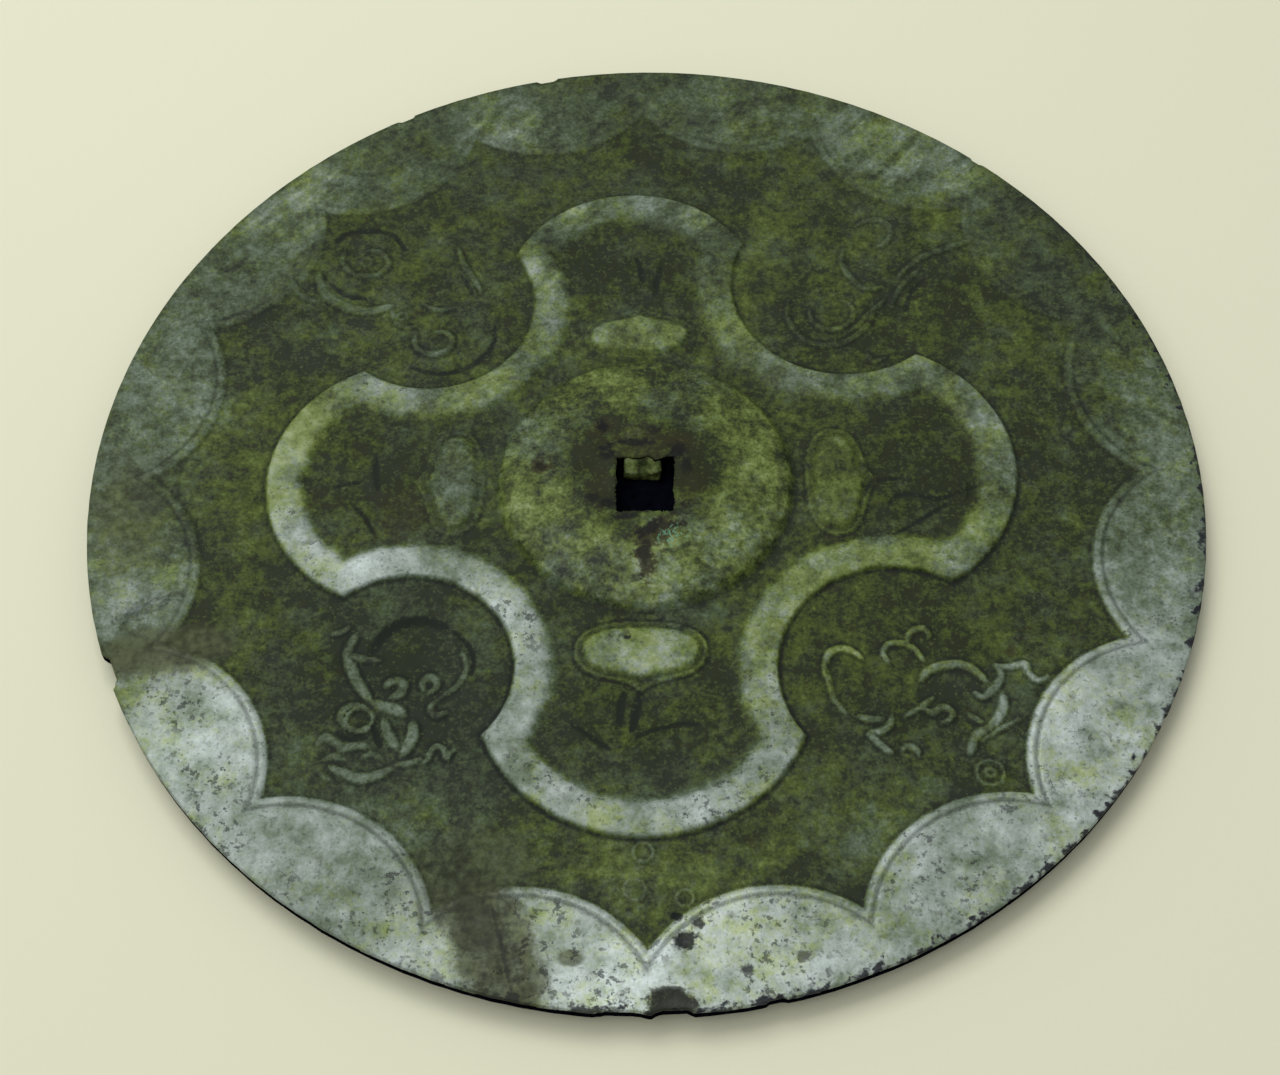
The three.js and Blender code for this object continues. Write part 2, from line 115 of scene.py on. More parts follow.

# Strokes of the birds and sprigs: half width, height and the points of each smooth line. A height below 0
# gives a sunk line, which is darkened, partly as dirt and partly as painted shade.
STROKES = (
    # The pair to the south-east.
    (0.55, 0.40, ((24.4, -32.5), (24.5, -30.5), (25.3, -28.6), (27, -28), (28.5, -28.6), (29.7, -29.8))),
    (0.45, 0.22, ((24.6, -30.5), (24.9, -33), (25.5, -36), (27, -38.2))),
    (0.55, 0.35, ((28.5, -38.6), (30.2, -39), (31.8, -39))),
    (0.50, 0.38, ((33, -38.5), (32.6, -40), (31.5, -40.8), (29.8, -41))),
    (0.55, 0.38, ((29.6, -41.2), (31.3, -43), (32.7, -44.2))),
    (0.50, 0.35, ((33.8, -43.7), (35, -43.2), (36, -43.9), (36.2, -44.6))),
    (0.50, 0.38, (
        (33.2, -30.3), (32.5, -28.8), (33.3, -27.5), (34.8, -27.3), (36, -27.6), (37, -28.5), (38, -30.3),
    )),
    (0.50, 0.42, ((36, -27.5), (36.2, -26.2), (37, -25.3), (38.3, -25.1), (39, -26), (38.8, -26.6))),
    (0.70, 0.45, ((37.3, -33.2), (38.5, -31.8), (40.5, -31), (42.8, -30.9), (44.6, -31.8), (46.2, -33.5))),
    (0.55, 0.42, ((48, -31.5), (48.1, -33), (47, -34.8), (45.5, -35.9), (44.3, -35.2))),
    (0.50, 0.40, (
        (47.3, -31.1), (49.5, -31.4), (51.6, -31), (52, -32.4), (53, -33.6), (54.3, -33.3), (54.6, -32.8),
    )),
    (0.75, 0.42, ((48.2, -35.5), (48, -37.5), (47, -39.5), (45.6, -40.8), (44, -42), (42.8, -44.5))),
    (0.35, 0.30, ((50.2, -39.3), (47, -41), (44.6, -42.7))),
    (0.50, 0.40, ((36.8, -37.3), (38.5, -38.2), (40, -37.3), (41.1, -38.2), (40.8, -39.2), (39.5, -39.8))),
    (0.40, 0.30, ((34.5, -38.9), (36.5, -37.6), (39, -35.7))),
    (0.50, 0.36, ((43.2, -38.3), (44, -39.2), (45.2, -40))),
    # The pair to the south-west.
    (0.80, 0.42, (
        (-40.1, -25.4), (-41, -28.2), (-40.3, -30.9), (-39.4, -32.9), (-38.3, -34.6), (-37.2, -36.2),
    )),
    (0.85, 0.38, ((-37.4, -36), (-35.3, -36.7), (-33.8, -37.2), (-32.4, -38))),
    (0.45, 0.30, ((-43.6, -25.4), (-42, -25.1), (-40.9, -24))),
    (0.60, 0.32, ((-40.9, -28.8), (-38.7, -29.3), (-36.3, -29.6))),
    (0.90, -0.24, (
        (-37.9, -28.6), (-36.6, -26), (-34.8, -24.1), (-32.8, -23.3), (-30.4, -23.2), (-27.6, -24.2),
    )),
    (0.40, -0.14, ((-26.8, -24.8), (-24.8, -26.7), (-23.7, -29.3), (-23.9, -31.8))),
    (0.45, 0.22, ((-25.4, -28), (-24.7, -30), (-24.9, -31.9), (-26, -33.7), (-27.6, -35), (-28.9, -36.1))),
    (0.75, 0.38, ((-35.6, -33.6), (-34.4, -32.7), (-33.2, -33.2), (-33.4, -34.6), (-34.6, -35.3))),
    (0.55, 0.30, (
        (-30.2, -34.3), (-30.5, -33), (-29.7, -32), (-28.7, -32.6), (-28.6, -33.8), (-29.5, -34.6),
    )),
    (0.55, 0.36, ((-28.9, -36), (-29.2, -37.2), (-28.2, -38), (-26.9, -37.4))),
    (0.60, 0.32, (
        (-37.1, -37.3), (-38.9, -36.6), (-40.4, -36.9), (-41.1, -38.1), (-40.4, -39.6), (-38.7, -40.5),
        (-37, -39.6),
    )),
    (0.70, 0.34, ((-35.4, -38.6), (-34.9, -40.3), (-34.1, -41.8), (-33.3, -43))),
    (0.80, 0.45, ((-31.3, -38.9), (-31.4, -41.4), (-32, -43), (-32.7, -44.2))),
    (0.75, 0.42, ((-42, -45.8), (-39.5, -47), (-37.5, -47.4), (-35.7, -47), (-33.8, -46))),
    (0.50, 0.34, ((-33.2, -45.3), (-31.6, -45.2), (-30.3, -44.7), (-30.1, -44.2))),
    (0.48, 0.36, (
        (-29.9, -45.2), (-29.2, -44.7), (-28.8, -43.6), (-28.2, -42.7), (-27.2, -43), (-26.6, -44.3),
        (-26.2, -43.7), (-25.6, -43.1),
    )),
    (0.65, 0.30, (
        (-44, -42.4), (-43, -41.3), (-41.8, -41.9), (-40.5, -43), (-38.9, -42.6), (-37.2, -42.7),
    )),
    (0.50, 0.24, ((-43, -44.8), (-41.6, -44.3), (-40, -44.8))),
    (0.45, 0.22, ((-38.1, -44.4), (-36.5, -43.8), (-35.1, -44.6))),
    (0.35, 0.18, ((-43.6, -46.2), (-42.6, -47.2), (-41.3, -47.8))),
    (0.45, -0.14, ((-41.6, -40.6), (-39.8, -41.6), (-37.6, -41.4))),
    (0.50, -0.18, ((-36.9, -39.3), (-36.2, -41.2), (-35.4, -42.9))),
    # The pair to the north-west.
    (0.50, -0.20, ((-48.4, 44.6), (-46.7, 46.4), (-42.8, 47), (-39.4, 46), (-37.4, 43.2))),
    (0.45, 0.26, (
        (-46.8, 43.6), (-47.1, 40.7), (-45, 38.4), (-41.7, 38.3), (-39.9, 40.4), (-41.4, 42.8),
        (-43.9, 43),
    )),
    (0.80, 0.38, ((-50.7, 38.4), (-49.7, 35.1), (-46.8, 32.4), (-42.6, 31.2), (-38.9, 32.2))),
    (0.45, -0.18, ((-48.7, 36.5), (-46.1, 34.3), (-43, 33.6))),
    (0.45, 0.24, ((-54.7, 37.3), (-53.7, 35), (-52.3, 33.7), (-50, 32.8))),
    (0.50, 0.32, ((-29.2, 43.8), (-28.4, 41), (-27.2, 38.6), (-26, 36.6), (-25.2, 34.8))),
    (0.40, -0.20, ((-28.4, 38.4), (-27.2, 36.3), (-26.6, 34.6))),
    (0.45, -0.22, (
        (-22.9, 28.6), (-23.1, 25), (-24.6, 22.6), (-26.8, 20.9), (-29.4, 19.9), (-32.2, 19.8),
        (-35.4, 20.8),
    )),
    (0.50, 0.30, (
        (-35, 27.3), (-34.8, 24.6), (-32.6, 23.2), (-30.2, 23.9), (-29.3, 25.8), (-30.4, 27.3),
        (-32.2, 27.4),
    )),
    (0.40, 0.24, ((-38.9, 31.4), (-37.9, 29), (-36.4, 28.2), (-35, 28.6))),
    (0.40, 0.22, ((-34.2, 32.8), (-31.9, 31.6), (-28.6, 32.2))),
    (0.40, -0.22, ((-63.2, 43.2), (-61.6, 40.4), (-58.7, 37.5))),
    (0.50, -0.22, ((-59.6, 46.4), (-56.5, 43.4), (-54.5, 39.5))),
    # The pair to the north-east.
    (0.50, 0.24, ((52, 44.1), (47.4, 42.6), (43.6, 41), (40.6, 38.6), (39.3, 36.9))),
    (0.45, 0.26, ((38, 31.3), (38.6, 33.4), (40, 35.6), (42.9, 38.8))),
    (0.40, -0.16, ((40.1, 30.6), (41.2, 34), (43.6, 36.7))),
    (0.45, 0.30, ((37.3, 33), (35.3, 31), (34, 29.6), (32.7, 28), (31.2, 26.8))),
    (0.50, 0.26, (
        (22.3, 33.2), (21.9, 30.4), (22.8, 27.6), (24.6, 25.4), (27.4, 24.4), (30.6, 25), (33.2, 27),
        (34.9, 29.6), (35.2, 32.1),
    )),
    (0.45, 0.28, (
        (25.3, 31.7), (25.7, 29.2), (27.6, 27.5), (30.3, 27.7), (31.9, 29.6), (31.8, 31.8), (30.4, 32.9),
    )),
    (0.40, 0.22, ((33.7, 23), (34.5, 21.2), (36.6, 21.9))),
    (0.45, 0.22, ((31.2, 43.1), (30.8, 40.4), (31.8, 37.6), (34.2, 35), (37, 35.3))),
    (0.45, 0.22, ((33.2, 47.3), (35.6, 48.6), (37.8, 48.2), (38.8, 46), (37.8, 43.8), (36.2, 43))),
    (0.35, 0.20, ((50.6, 47.2), (55.7, 48), (59.9, 45.1))),
    # The sprigs in the lobes.
    (0.65, -0.12, ((-0.8, -34.4), (-1.2, -36.5), (-1.6, -38.6), (-2.0, -40.4))),
    (0.35, -0.18, ((-10.1, -39.2), (-8.6, -40.3), (-6.6, -41.9), (-4.8, -43.0))),
    (0.32, -0.16, ((-1.2, -41.2), (0.8, -40.3), (3, -39.7), (5.2, -39.3), (7.4, -39.5))),
    (0.60, -0.12, ((-3.0, -34.6), (-3.5, -37), (-3.6, -39.4))),
    (0.35, -0.18, (
        (35.0, -4.9), (35.6, -3.5), (37, -2.8), (39, -2.8), (41.4, -3.5), (43.2, -3.4), (48.2, -1.6),
    )),
    (0.35, -0.20, ((35.4, -9.6), (37.8, -8.2), (39.8, -6.9), (41.6, -5.8), (43.4, -4.5))),
    (0.35, -0.18, ((31.8, -2.9), (32.2, -1.5), (33.4, -0.4), (35, 0), (36.8, 0))),
    (0.35, 0.24, ((46, -0.4), (46.2, -2), (46, -3.8))),
    (0.45, -0.18, ((-39.5, 4.4), (-39.2, 1.5), (-38.8, -1.4))),
    (0.38, -0.16, ((-45, -0.9), (-43.3, -0.3), (-41.5, -0.1))),
    (0.38, -0.20, ((-42.6, -3.6), (-41.1, -5.2), (-39.8, -7), (-38.9, -8.8))),
    (0.45, -0.16, ((-1.2, 41.8), (-0.5, 39.2), (-0.2, 37))),
    (0.45, -0.20, ((2.6, 39.8), (2, 37.4), (1.8, 34.4))),
)

# Small raised rings: middle, radius, half width and height.
RINGS = (
    (45.3, -47.3, 1.8, 0.35, 0.28), (45.3, -47.3, 0.6, 0.40, 0.25), (-38.6, -38.8, 1.8, 0.40, 0.34),
    (-0.5, -58.0, 1.3, 0.30, 0.22), (4.8, -64.4, 1.1, 0.30, 0.22), (-1.6, -63.2, 1.4, 0.25, 0.16),
    (-37.2, 30.3, 0.7, 0.35, 0.2), (-43.4, 40.8, 0.8, 0.40, 0.2),
)

# Pits that corrosion has eaten: middle, radius and depth.
PITS = (
    (4.8, -70.2, 1.5, 0.45), (6.4, -67.9, 0.9, 0.3), (3.7, -67.0, 0.8, 0.3), (3.0, -79.2, 3.0, 0.35),
    (2.2, -10.6, 1.6, 0.3), (4.2, -12.4, 1.4, 0.25), (-15, 1.5, 1.2, 0.25), (-2.6, -26.1, 0.5, 0.25),
    (0.4, -14.8, 0.9, 0.2),
)

# Chips in the edge: direction, half width and depth.
CHIPS = (
    (203.5, 3.0, 0.9), (101.5, 1.8, 0.6), (119.0, 1.6, 0.45), (272.3, 2.6, 0.6), (267.6, 3.4, 0.4),
    (281.5, 1.4, 0.35), (48.0, 1.2, 0.3), (330.0, 1.0, 0.25),
)

# How pale each arc of the rim is, from the east arc on anticlockwise, and the same for the band and the
# ovals: partly real wear and partly painted sheen, which makes the south side paler.
RIM_WEAR_AND_SHEEN = (0.13, 0.12, 0.15, 0.15, 0.15, 0.18, 0.17, 0.21, 0.22, 0.74, 0.50, 0.68, 0.75, 0.62, 0.75, 0.36)
BAND_WEAR_AND_SHEEN = (0.33, 0.30, 0.26, 0.23, 0.21, 0.26, 0.27, 0.36, 0.50, 0.57, 0.58, 0.58, 0.59, 0.49, 0.37, 0.38)
OVAL_WEAR_AND_SHEEN = (0.13, 0.34, 0.21, 0.47)

# Parts of the ground that are paler or darker than the rest: middle, reach and change.
GROUND_WEAR = (
    (-36, -56, 12, 0.11), (-56, -38, 10, 0.05), (0, -60, 14, 0.09), (30, -56, 14, 0.05),
    (-35, -34, 13, -0.08), (36, -36, 13, -0.03), (0, -40, 11, -0.06), (0, 40, 10, -0.06),
    (40, 0, 10, -0.07), (-40, 0, 10, -0.05), (0, 62, 14, -0.03), (-60, 10, 14, 0.07), (16, 42, 8, 0.05),
)

# Places whose colour is cooler or warmer than what is round them: middle, reach and change.
COOL_PATCHES = (
    (-17.7, 8.4, 4.5, 0.55), (3, 13.7, 3.6, 0.45), (-10.7, -16.6, 5, 0.5), (5.5, -21.6, 5, 0.4),
    (8.4, 15.5, 3, 0.3), (15.5, 9, 5, -0.6), (-18.1, -3.9, 4, -0.4), (-3.7, 17.4, 5, -0.4),
    (18, 1.5, 4, -0.3), (-27.7, 0, 6, 0.35), (27.7, 0, 6, -0.2), (-44, -50, 17, 0.4), (-34, -20, 13, 0.5),
    (-24, -46, 13, 0.5), (-16, -28, 6, 0.3), (4, -52, 9, 0.25), (-66, 20, 22, 0.2), (-20, 62, 14, 0.2),
    (-16, 36, 7, 0.1), (0, 52, 12, 0.1), (34, -58, 26, 0.2), (72, -20, 14, 0.35), (10, -66, 9, -0.3),
    (-52, 10, 9, -0.5), (-53, -3, 7, -0.3), (28, -24, 12, -0.6), (-30, 26, 9, 0.15),
)

# Patches of the rim, band and boss that are paler or darker than what is round them: middle, reach and
# change.
WORN_PATCHES = (
    (42, 62.5, 8, 0.18), (35, 66, 6, 0.12), (50, 57, 5, 0.14), (16, 70, 8, 0.09), (-22, 68, 7, 0.18),
    (-57, 51, 6, 0.20), (-52, 55, 5, 0.14), (-66, 33, 8, 0.10), (-72, 13, 9, 0.14), (76, 6, 6, 0.12),
    (73, 18, 6, 0.10), (-32, 65, 6, -0.05), (70, 36, 8, -0.05), (-10.5, 50.5, 3.5, 0.20),
    (9, 50.5, 3.5, 0.16), (0, 53, 4, 0.08), (-17, 38.5, 3, 0.19), (-14, 32, 4.5, 0.14),
    (-15.5, 43.8, 2.6, -0.16), (13, 44, 5, -0.10), (24, 18.5, 3, 0.20), (41, 21, 3.5, 0.12),
    (50, 9, 6, 0.10), (51, -2, 3, -0.10), (-42, 17, 3.5, 0.18), (-36, 14.5, 4, 0.12),
    (-44, 12.5, 2.4, -0.16), (-33, 12, 2.6, -0.12), (-53, 7, 5, 0.14), (-50, 0, 2.4, -0.12),
    (-41, -14, 4, 0.18), (-48, -9, 4, 0.12), (-20, -22, 6, 0.12), (-29, -52, 4, 0.10), (6, -53, 6, 0.10),
    (15.5, 8.5, 4.5, 0.13), (-18.2, -3.9, 4, 0.11), (-3.7, 17.4, 4.5, 0.12), (18.2, -2, 4.5, 0.05),
    (12, -12, 5, 0.06), (0, -18, 7, 0.18), (-13, -12, 5, 0.12), (-17.5, 8.4, 3, 0.06),
    (7.4, -0.6, 3.6, -0.18), (-6.3, 8.0, 3.4, -0.12), (4.5, 6.5, 3.4, -0.14), (-6.2, -4, 2.6, -0.14),
    (-9.5, 2, 3, -0.08), (-2.4, -6.6, 2.6, -0.12), (3, 13.7, 3.4, -0.06), (-11.4, -4, 2.6, 0.10),
    (0.4, -8.8, 2.0, 0.10), (-73, -20, 6, 0.16), (-2, -77, 7, 0.14), (-72, -30, 6, -0.25),
)

# Stains of pale dirt, rust and soot: middle, half sizes, turn in degrees, softness and strength.
SILT_BLOTS = (
    ((-18.8, -72), (5.3, 12.5), 20, 0.22, 0.95),
    ((-23, -61.5), (7, 6), 20, 0.6, 0.65),
    ((-24.4, -65.6), (3.0, 4.6), 24, 0.3, 0.9),
    ((-9.6, -72.6), (1.7, 1.1), 0, 0.3, 0.8),
    ((-66.5, -28.5), (10, 3.6), 12, 0.35, 1.0),
    ((3.0, -79.0), (3.3, 2.6), 0, 0.15, 1.0),
    ((3.0, -79.4), (2.4, 1.6), 0, 0.15, 1.0),
    ((-74, -6), (5, 9), 0, 0.6, 0.5),
)
RUST_BLOTS = (
    ((0, 4.6), (6.5, 3.2), 0, 0.5, 0.4),
    ((1.9, -10.2), (3.2, 2.0), 30, 0.35, 0.85),
    ((-0.2, -14.2), (1.4, 3.2), 10, 0.35, 0.85),
    ((-15, 1.5), (1.6, 1.3), 0, 0.3, 0.8),
    ((-6.5, 8), (2.2, 1.4), 30, 0.5, 0.6),
    ((5, 5), (2.2, 1.8), 0, 0.5, 0.6),
    ((6.4, -2), (2.2, 3.8), 0, 0.6, 0.3),
    ((-6.2, -3), (2.0, 3.6), 0, 0.6, 0.3),
    ((50, -29), (0.9, 0.9), 0, 0.4, 0.6),
    ((-35, -5.5), (4.0, 4.0), 0, 0.7, 0.35),
)
SOOT_BLOTS = (
    ((-22, -67), (3.4, 10), 24, 0.6, 0.4),
    ((-18.3, -71), (0.35, 7), 14, 0.5, 0.6),
    ((4.8, -70.2), (1.5, 1.3), 0, 0.3, 0.9),
    ((6.4, -67.9), (0.9, 0.7), 0, 0.3, 0.85),
    ((3.7, -67.0), (0.8, 0.6), 0, 0.3, 0.85),
    ((-2.6, -26.1), (0.55, 0.35), 0, 0.3, 0.9),
    ((-15, 1.5), (0.9, 0.7), 0, 0.3, 0.6),
    ((3.0, -76.7), (2.4, 0.4), 0, 0.4, 0.7),
    ((3.0, -79.1), (3.2, 2.3), 0, 0.15, 0.7),
    ((-6.3, 8.3), (0.9, 1.2), 20, 0.4, 0.75),
    ((-5.6, 4.4), (1.4, 0.6), 30, 0.4, 0.75),
    ((-1.8, 5.2), (3.0, 0.6), 0, 0.4, 0.7),
    ((6.0, 1.0), (0.8, 1.6), 10, 0.4, 0.6),
    ((-7.6, -4.2), (0.9, 0.7), 0, 0.4, 0.6),
    ((6.4, -5.4), (0.9, 0.6), 0, 0.4, 0.5),
    ((1.5, 7.4), (0.9, 0.7), 0, 0.4, 0.5),
    ((4.6, 3.6), (1.6, 1.3), 20, 0.5, 0.7),
    ((-5.3, 3.2), (1.2, 0.8), 0, 0.5, 0.7),
    ((-5.3, -5.2), (1.1, 0.8), 0, 0.5, 0.7),
    ((4.8, -6.8), (1.0, 0.6), 0, 0.5, 0.6),
    ((-2.6, -7.6), (2.0, 0.5), 5, 0.5, 0.6),
    ((0.6, -9.4), (1.8, 0.9), 40, 0.4, 0.75),
    ((3.6, -8.9), (2.2, 0.5), 10, 0.4, 0.5),
    ((-0.2, -13.4), (1.0, 2.0), 0, 0.4, 0.65),
    ((-1.2, -17.2), (0.9, 0.5), 30, 0.4, 0.6),
    ((4.6, -12.6), (2.0, 0.4), 20, 0.4, 0.5),
    ((12.4, -74.2), (1.0, 0.6), 0, 0.4, 0.8),
    ((19.5, -72.6), (1.1, 0.7), 20, 0.4, 0.7),
    ((-75.5, -33), (3.0, 1.2), 20, 0.5, 0.8),
    ((-70, -22), (3.4, 1.2), 30, 0.5, 0.5),
)


def soft_step(value, start, end):
    """0 before start and 1 after end, with a smooth way between."""
    share = np.clip((value - start) / (end - start), 0, 1)
    return share * share * (3 - 2 * share)


def close_to(gap, start, end):
    """1 where a distance is below start and 0 where it is past end, on both sides of 0."""
    return 1 - soft_step(np.abs(gap), start, end)


def patches(x, y, rows):
    """The sum of soft round patches, each given by its middle, reach and change."""
    return sum(
        change * np.exp(-((x - middle_x) ** 2 + (y - middle_y) ** 2) / reach**2)
        for middle_x, middle_y, reach, change in rows
    )


def polar(radius, degrees):
    """The point at a distance from the middle, in a direction."""
    return np.array((radius * math.cos(math.radians(degrees)), radius * math.sin(math.radians(degrees))))


def circle_through(a, b, c):
    """The middle and radius of the circle through three points."""
    (bx, by), (cx, cy) = b - a, c - a
    double = 2 * (bx * cy - by * cx)
    x = (cy * (bx * bx + by * by) - by * (cx * cx + cy * cy)) / double
    y = (bx * (cx * cx + cy * cy) - cx * (bx * bx + by * by)) / double
    return a + (x, y), math.hypot(x, y)


def crossing(first, second, near):
    """Where two circles cross, the place nearer to a given point."""
    (p, p_radius), (q, q_radius) = first, second
    gap = math.dist(p, q)
    along = (gap * gap + p_radius**2 - q_radius**2) / (2 * gap)
    aside = math.sqrt(max(0, p_radius**2 - along**2))
    way = (q - p) / gap
    across = np.array((-way[1], way[0]))
    both = [p + way * along + across * aside * side for side in (1, -1)]
    return min(both, key=lambda point: math.dist(point, near))


def smooth_line(points):
    """Points close together on a smooth curve through the given ones."""
    given = np.array(points, float)
    ends = np.vstack([2 * given[0] - given[1], given, 2 * given[-1] - given[-2]])
    parts = []
    for i in range(len(given) - 1):
        a, b, c, d = ends[i : i + 4]
        count = max(3, round(math.dist(b, c) / LINE_STEP))
        t = np.linspace(0, 1, count, endpoint=False)[:, None]
        bend = (2 * a - 5 * b + 4 * c - d) * t**2 + (3 * b - a - 3 * c + d) * t**3
        parts.append(0.5 * (2 * b + (c - a) * t + bend))
    parts.append(given[-1:])
    return np.vstack(parts)


class ArcShape:
    """A shape whose outline is a run of arcs: lobes that bulge out, with bites between them."""

    def __init__(self, inset):
        cusps = [polar(CUSP_RADIUS, angle) for angle in CUSP_ANGLES]
        arcs = []
        for i in range(8):
            lobe = i % 2 == 0
            turn = 90 * (i // 2)
            past = polar(LOBE_REACH[i // 2], turn) if lobe else polar(BITE_REACH, turn + 45)
            middle, radius = circle_through(cusps[i], past, cusps[(i + 1) % 8])
            arcs.append((middle, radius - inset if lobe else radius + inset))
        self.corners = [crossing(arcs[i - 1], arcs[i], cusps[i]) for i in range(8)]
        self.lobes = arcs[::2]
        self.bites = arcs[1::2]

    def gap(self, x, y):
        """The distance to the outline, less than 0 inside it."""
        inside = np.full(x.shape, -FAR)
        for a, b in zip(self.corners, self.corners[1:] + self.corners[:1]):
            way = (b - a) / math.dist(a, b)
            inside = np.maximum(inside, (x - a[0]) * way[1] - (y - a[1]) * way[0])
        for middle, radius in self.lobes:
            inside = np.minimum(inside, np.hypot(x - middle[0], y - middle[1]) - radius)
        for middle, radius in self.bites:
            inside = np.maximum(inside, radius - np.hypot(x - middle[0], y - middle[1]))
        return inside


class Carving:
    """The relief on the mirror's back, as distances to its lines and heights over its plain surface."""

    def __init__(self, sizes):
        self.radius = sizes.disc_radius / MM
        self.thickness = sizes.rim_thickness / MM
        self.bulge = sizes.face_bulge / MM
        self.dish = sizes.back_dish / MM
        self.flat_spot = sizes.flat_spot_radius / MM
        self.rim_step = sizes.rim_step / MM
        self.band_height = sizes.band_height / MM
        self.oval_height = sizes.oval_height / MM
        self.boss_radius = sizes.boss_radius / MM
        self.boss_height = sizes.boss_height / MM
        self.boss_edge = sizes.boss_edge_height / MM
        self.outer = ArcShape(0)
        self.inner = ArcShape(sizes.band_width / MM)
        lines = []
        for half_width, height, points in STROKES:
            line = smooth_line(points)
            reach = np.linspace(0, 1, len(line)) * len(line) * LINE_STEP
            # A stroke swells in its middle and tapers towards its ends.
            taper = soft_step(np.minimum(reach, reach[-1] - reach), -0.8, 0.8)
            swell = np.clip(np.sin(math.pi * reach / reach[-1]), 0, 1) ** 0.4
            lines.append(np.column_stack([line, half_width * (0.55 + 0.75 * swell), height * taper]))
        for x, y, radius, half_width, height in RINGS:
            turn = np.linspace(0, 2 * math.pi, 60, endpoint=False)
            same = np.ones(len(turn))
            ring = [x + radius * np.cos(turn), y + radius * np.sin(turn), same * half_width, same * height]
            lines.append(np.column_stack(ring))
        self.line_points = np.vstack(lines)
        self.line_tree = kdtree.KDTree(len(self.line_points))
        for i, (x, y, _width, _height) in enumerate(self.line_points):
            self.line_tree.insert((x, y, 0), i)
        self.line_tree.balance()

    def back(self, r):
        """The height of the rim's level at a distance from the middle."""
        return self.bulge + self.thickness - self.dish * (1 - (r / self.radius) ** 2)

    def face(self, r):
        """The height of the polished face, which has a flat spot in the middle."""
        return self.bulge * (np.maximum(0, r - self.flat_spot) / (self.radius - self.flat_spot)) ** 2

    def middle(self, r):
        """The height halfway between the back and the face."""
        return (self.back(r) + self.face(r)) / 2

    def arc_gap(self, x, y):
        """The distance to the rim's scalloped edge, less than 0 on the rim."""
        nearest = np.full(x.shape, FAR)
        for i in range(ARC_COUNT):
            middle = polar(ARC_CENTRE, 360 * (i + 0.5) / ARC_COUNT)
            nearest = np.minimum(nearest, np.hypot(x - middle[0], y - middle[1]) - ARC_RADIUS)
        return nearest

    def oval_gap(self, x, y, margin, tip):
        """The distance to the nearest oval's outline, less than 0 inside it. Its outer side has a tip."""
        nearest = np.full(x.shape, FAR)
        for oval_x, oval_y, angle, length, width in OVALS:
            out = polar(1, angle)
            v = (x - oval_x) * out[0] + (y - oval_y) * out[1]
            u = (y - oval_y) * out[0] - (x - oval_x) * out[1]
            peak = np.where(v > 0, tip * np.exp(-np.abs(u / 1.5) ** 1.2), 0)
            a, b, power = length + margin, width + margin + peak, 2.4
            whole = (np.abs(u / a) ** power + np.abs(v / b) ** power) ** (1 / power)
            slope = np.hypot(np.abs(u / a) ** (power - 1) / a, np.abs(v / b) ** (power - 1) / b)
            slope = slope / np.maximum(whole, 0.05) ** (power - 1)
            nearest = np.minimum(nearest, (whole - 1) / np.maximum(slope, 0.02))
        return nearest

    def strokes(self, x, y):
        """The distance to the nearest stroke, and that stroke's half width and height there."""
        far = np.full(x.shape, 9.0)
        found = np.zeros(x.shape, int)
        r = np.hypot(x, y)
        # All strokes lie between the boss and the rim.
        for i in np.nonzero((r > 22) & (r < 67.5))[0]:
            _place, found[i], far[i] = self.line_tree.find((x[i], y[i], 0))
        return far, self.line_points[found, 2], self.line_points[found, 3]

    def chip_gap(self, x, y):
        """The distance to the nearest chip in the edge."""
        nearest = np.full(x.shape, FAR)
        for angle, half_width, _depth in CHIPS:
            place = polar(self.radius, angle)
            nearest = np.minimum(nearest, np.hypot(x - place[0], y - place[1]) - half_width)
        return np.maximum(0, nearest)

    def spacing(self, x, y, fine, coarse):
        """How far apart the mesh's points are at a place: close together where the relief changes."""
        arc = self.arc_gap(x, y)
        inner = self.inner.gap(x, y)
        line, half_width, _height = self.strokes(x, y)
        r = np.hypot(x, y)
        # The distances to where each form's slope begins or is steepest.
        gaps = [
            np.abs(arc + 0.1),
            np.abs(arc + 1.45),
            np.abs(self.outer.gap(x, y) + 0.05),
            np.abs(inner - 0.4),
            np.abs(self.oval_gap(x, y, 0.9, 1.8)),
            np.abs(self.oval_gap(x, y, 0, 0.7)),
            np.abs(r - self.boss_radius + 0.3),
            np.maximum(0, line - half_width),
            np.maximum(0, np.maximum(np.abs(x), np.abs(y - RECESS_SHIFT)) - 4.8),
            self.chip_gap(x, y),
        ]
        for pit_x, pit_y, radius, _depth in PITS:
            gaps.append(np.maximum(0, np.hypot(x - pit_x, y - pit_y) - radius * 1.1))
        nearest = np.min(gaps, axis=0)
        return np.clip(fine + 0.5 * np.maximum(0, nearest - 0.3), fine, coarse)

    def survey(self, x, y):
        """Everything that the mesh and its patina take from the carving at a set of points."""
        r = np.hypot(x, y)
        around = np.degrees(np.arctan2(y, x)) % 360
        arc = self.arc_gap(x, y)
        outer, inner = self.outer.gap(x, y), self.inner.gap(x, y)
        base, pad = self.oval_gap(x, y, 0.9, 1.8), self.oval_gap(x, y, 0, 0.7)
        line, half_width, line_height = self.strokes(x, y)

        # The casting is crisp in the south and at the west end, and worn soft in the north.
        south, west = soft_step(-y + 0.35 * x, -35, 45), soft_step(-x - 0.6 * np.abs(y - 14), 30, 55)
        crisp = 0.35 + 0.65 * np.maximum(south, 0.6 * west)
        rim = soft_step(-arc, -0.1, 0.35)
        groove = close_to(arc + 1.42, 0.05, 0.4) * crisp
        fillet = soft_step(-arc, 0.2, 1.1)
        height = (self.rim_step - 0.15) * rim * crisp + 0.15 * rim * fillet - 0.16 * groove * rim

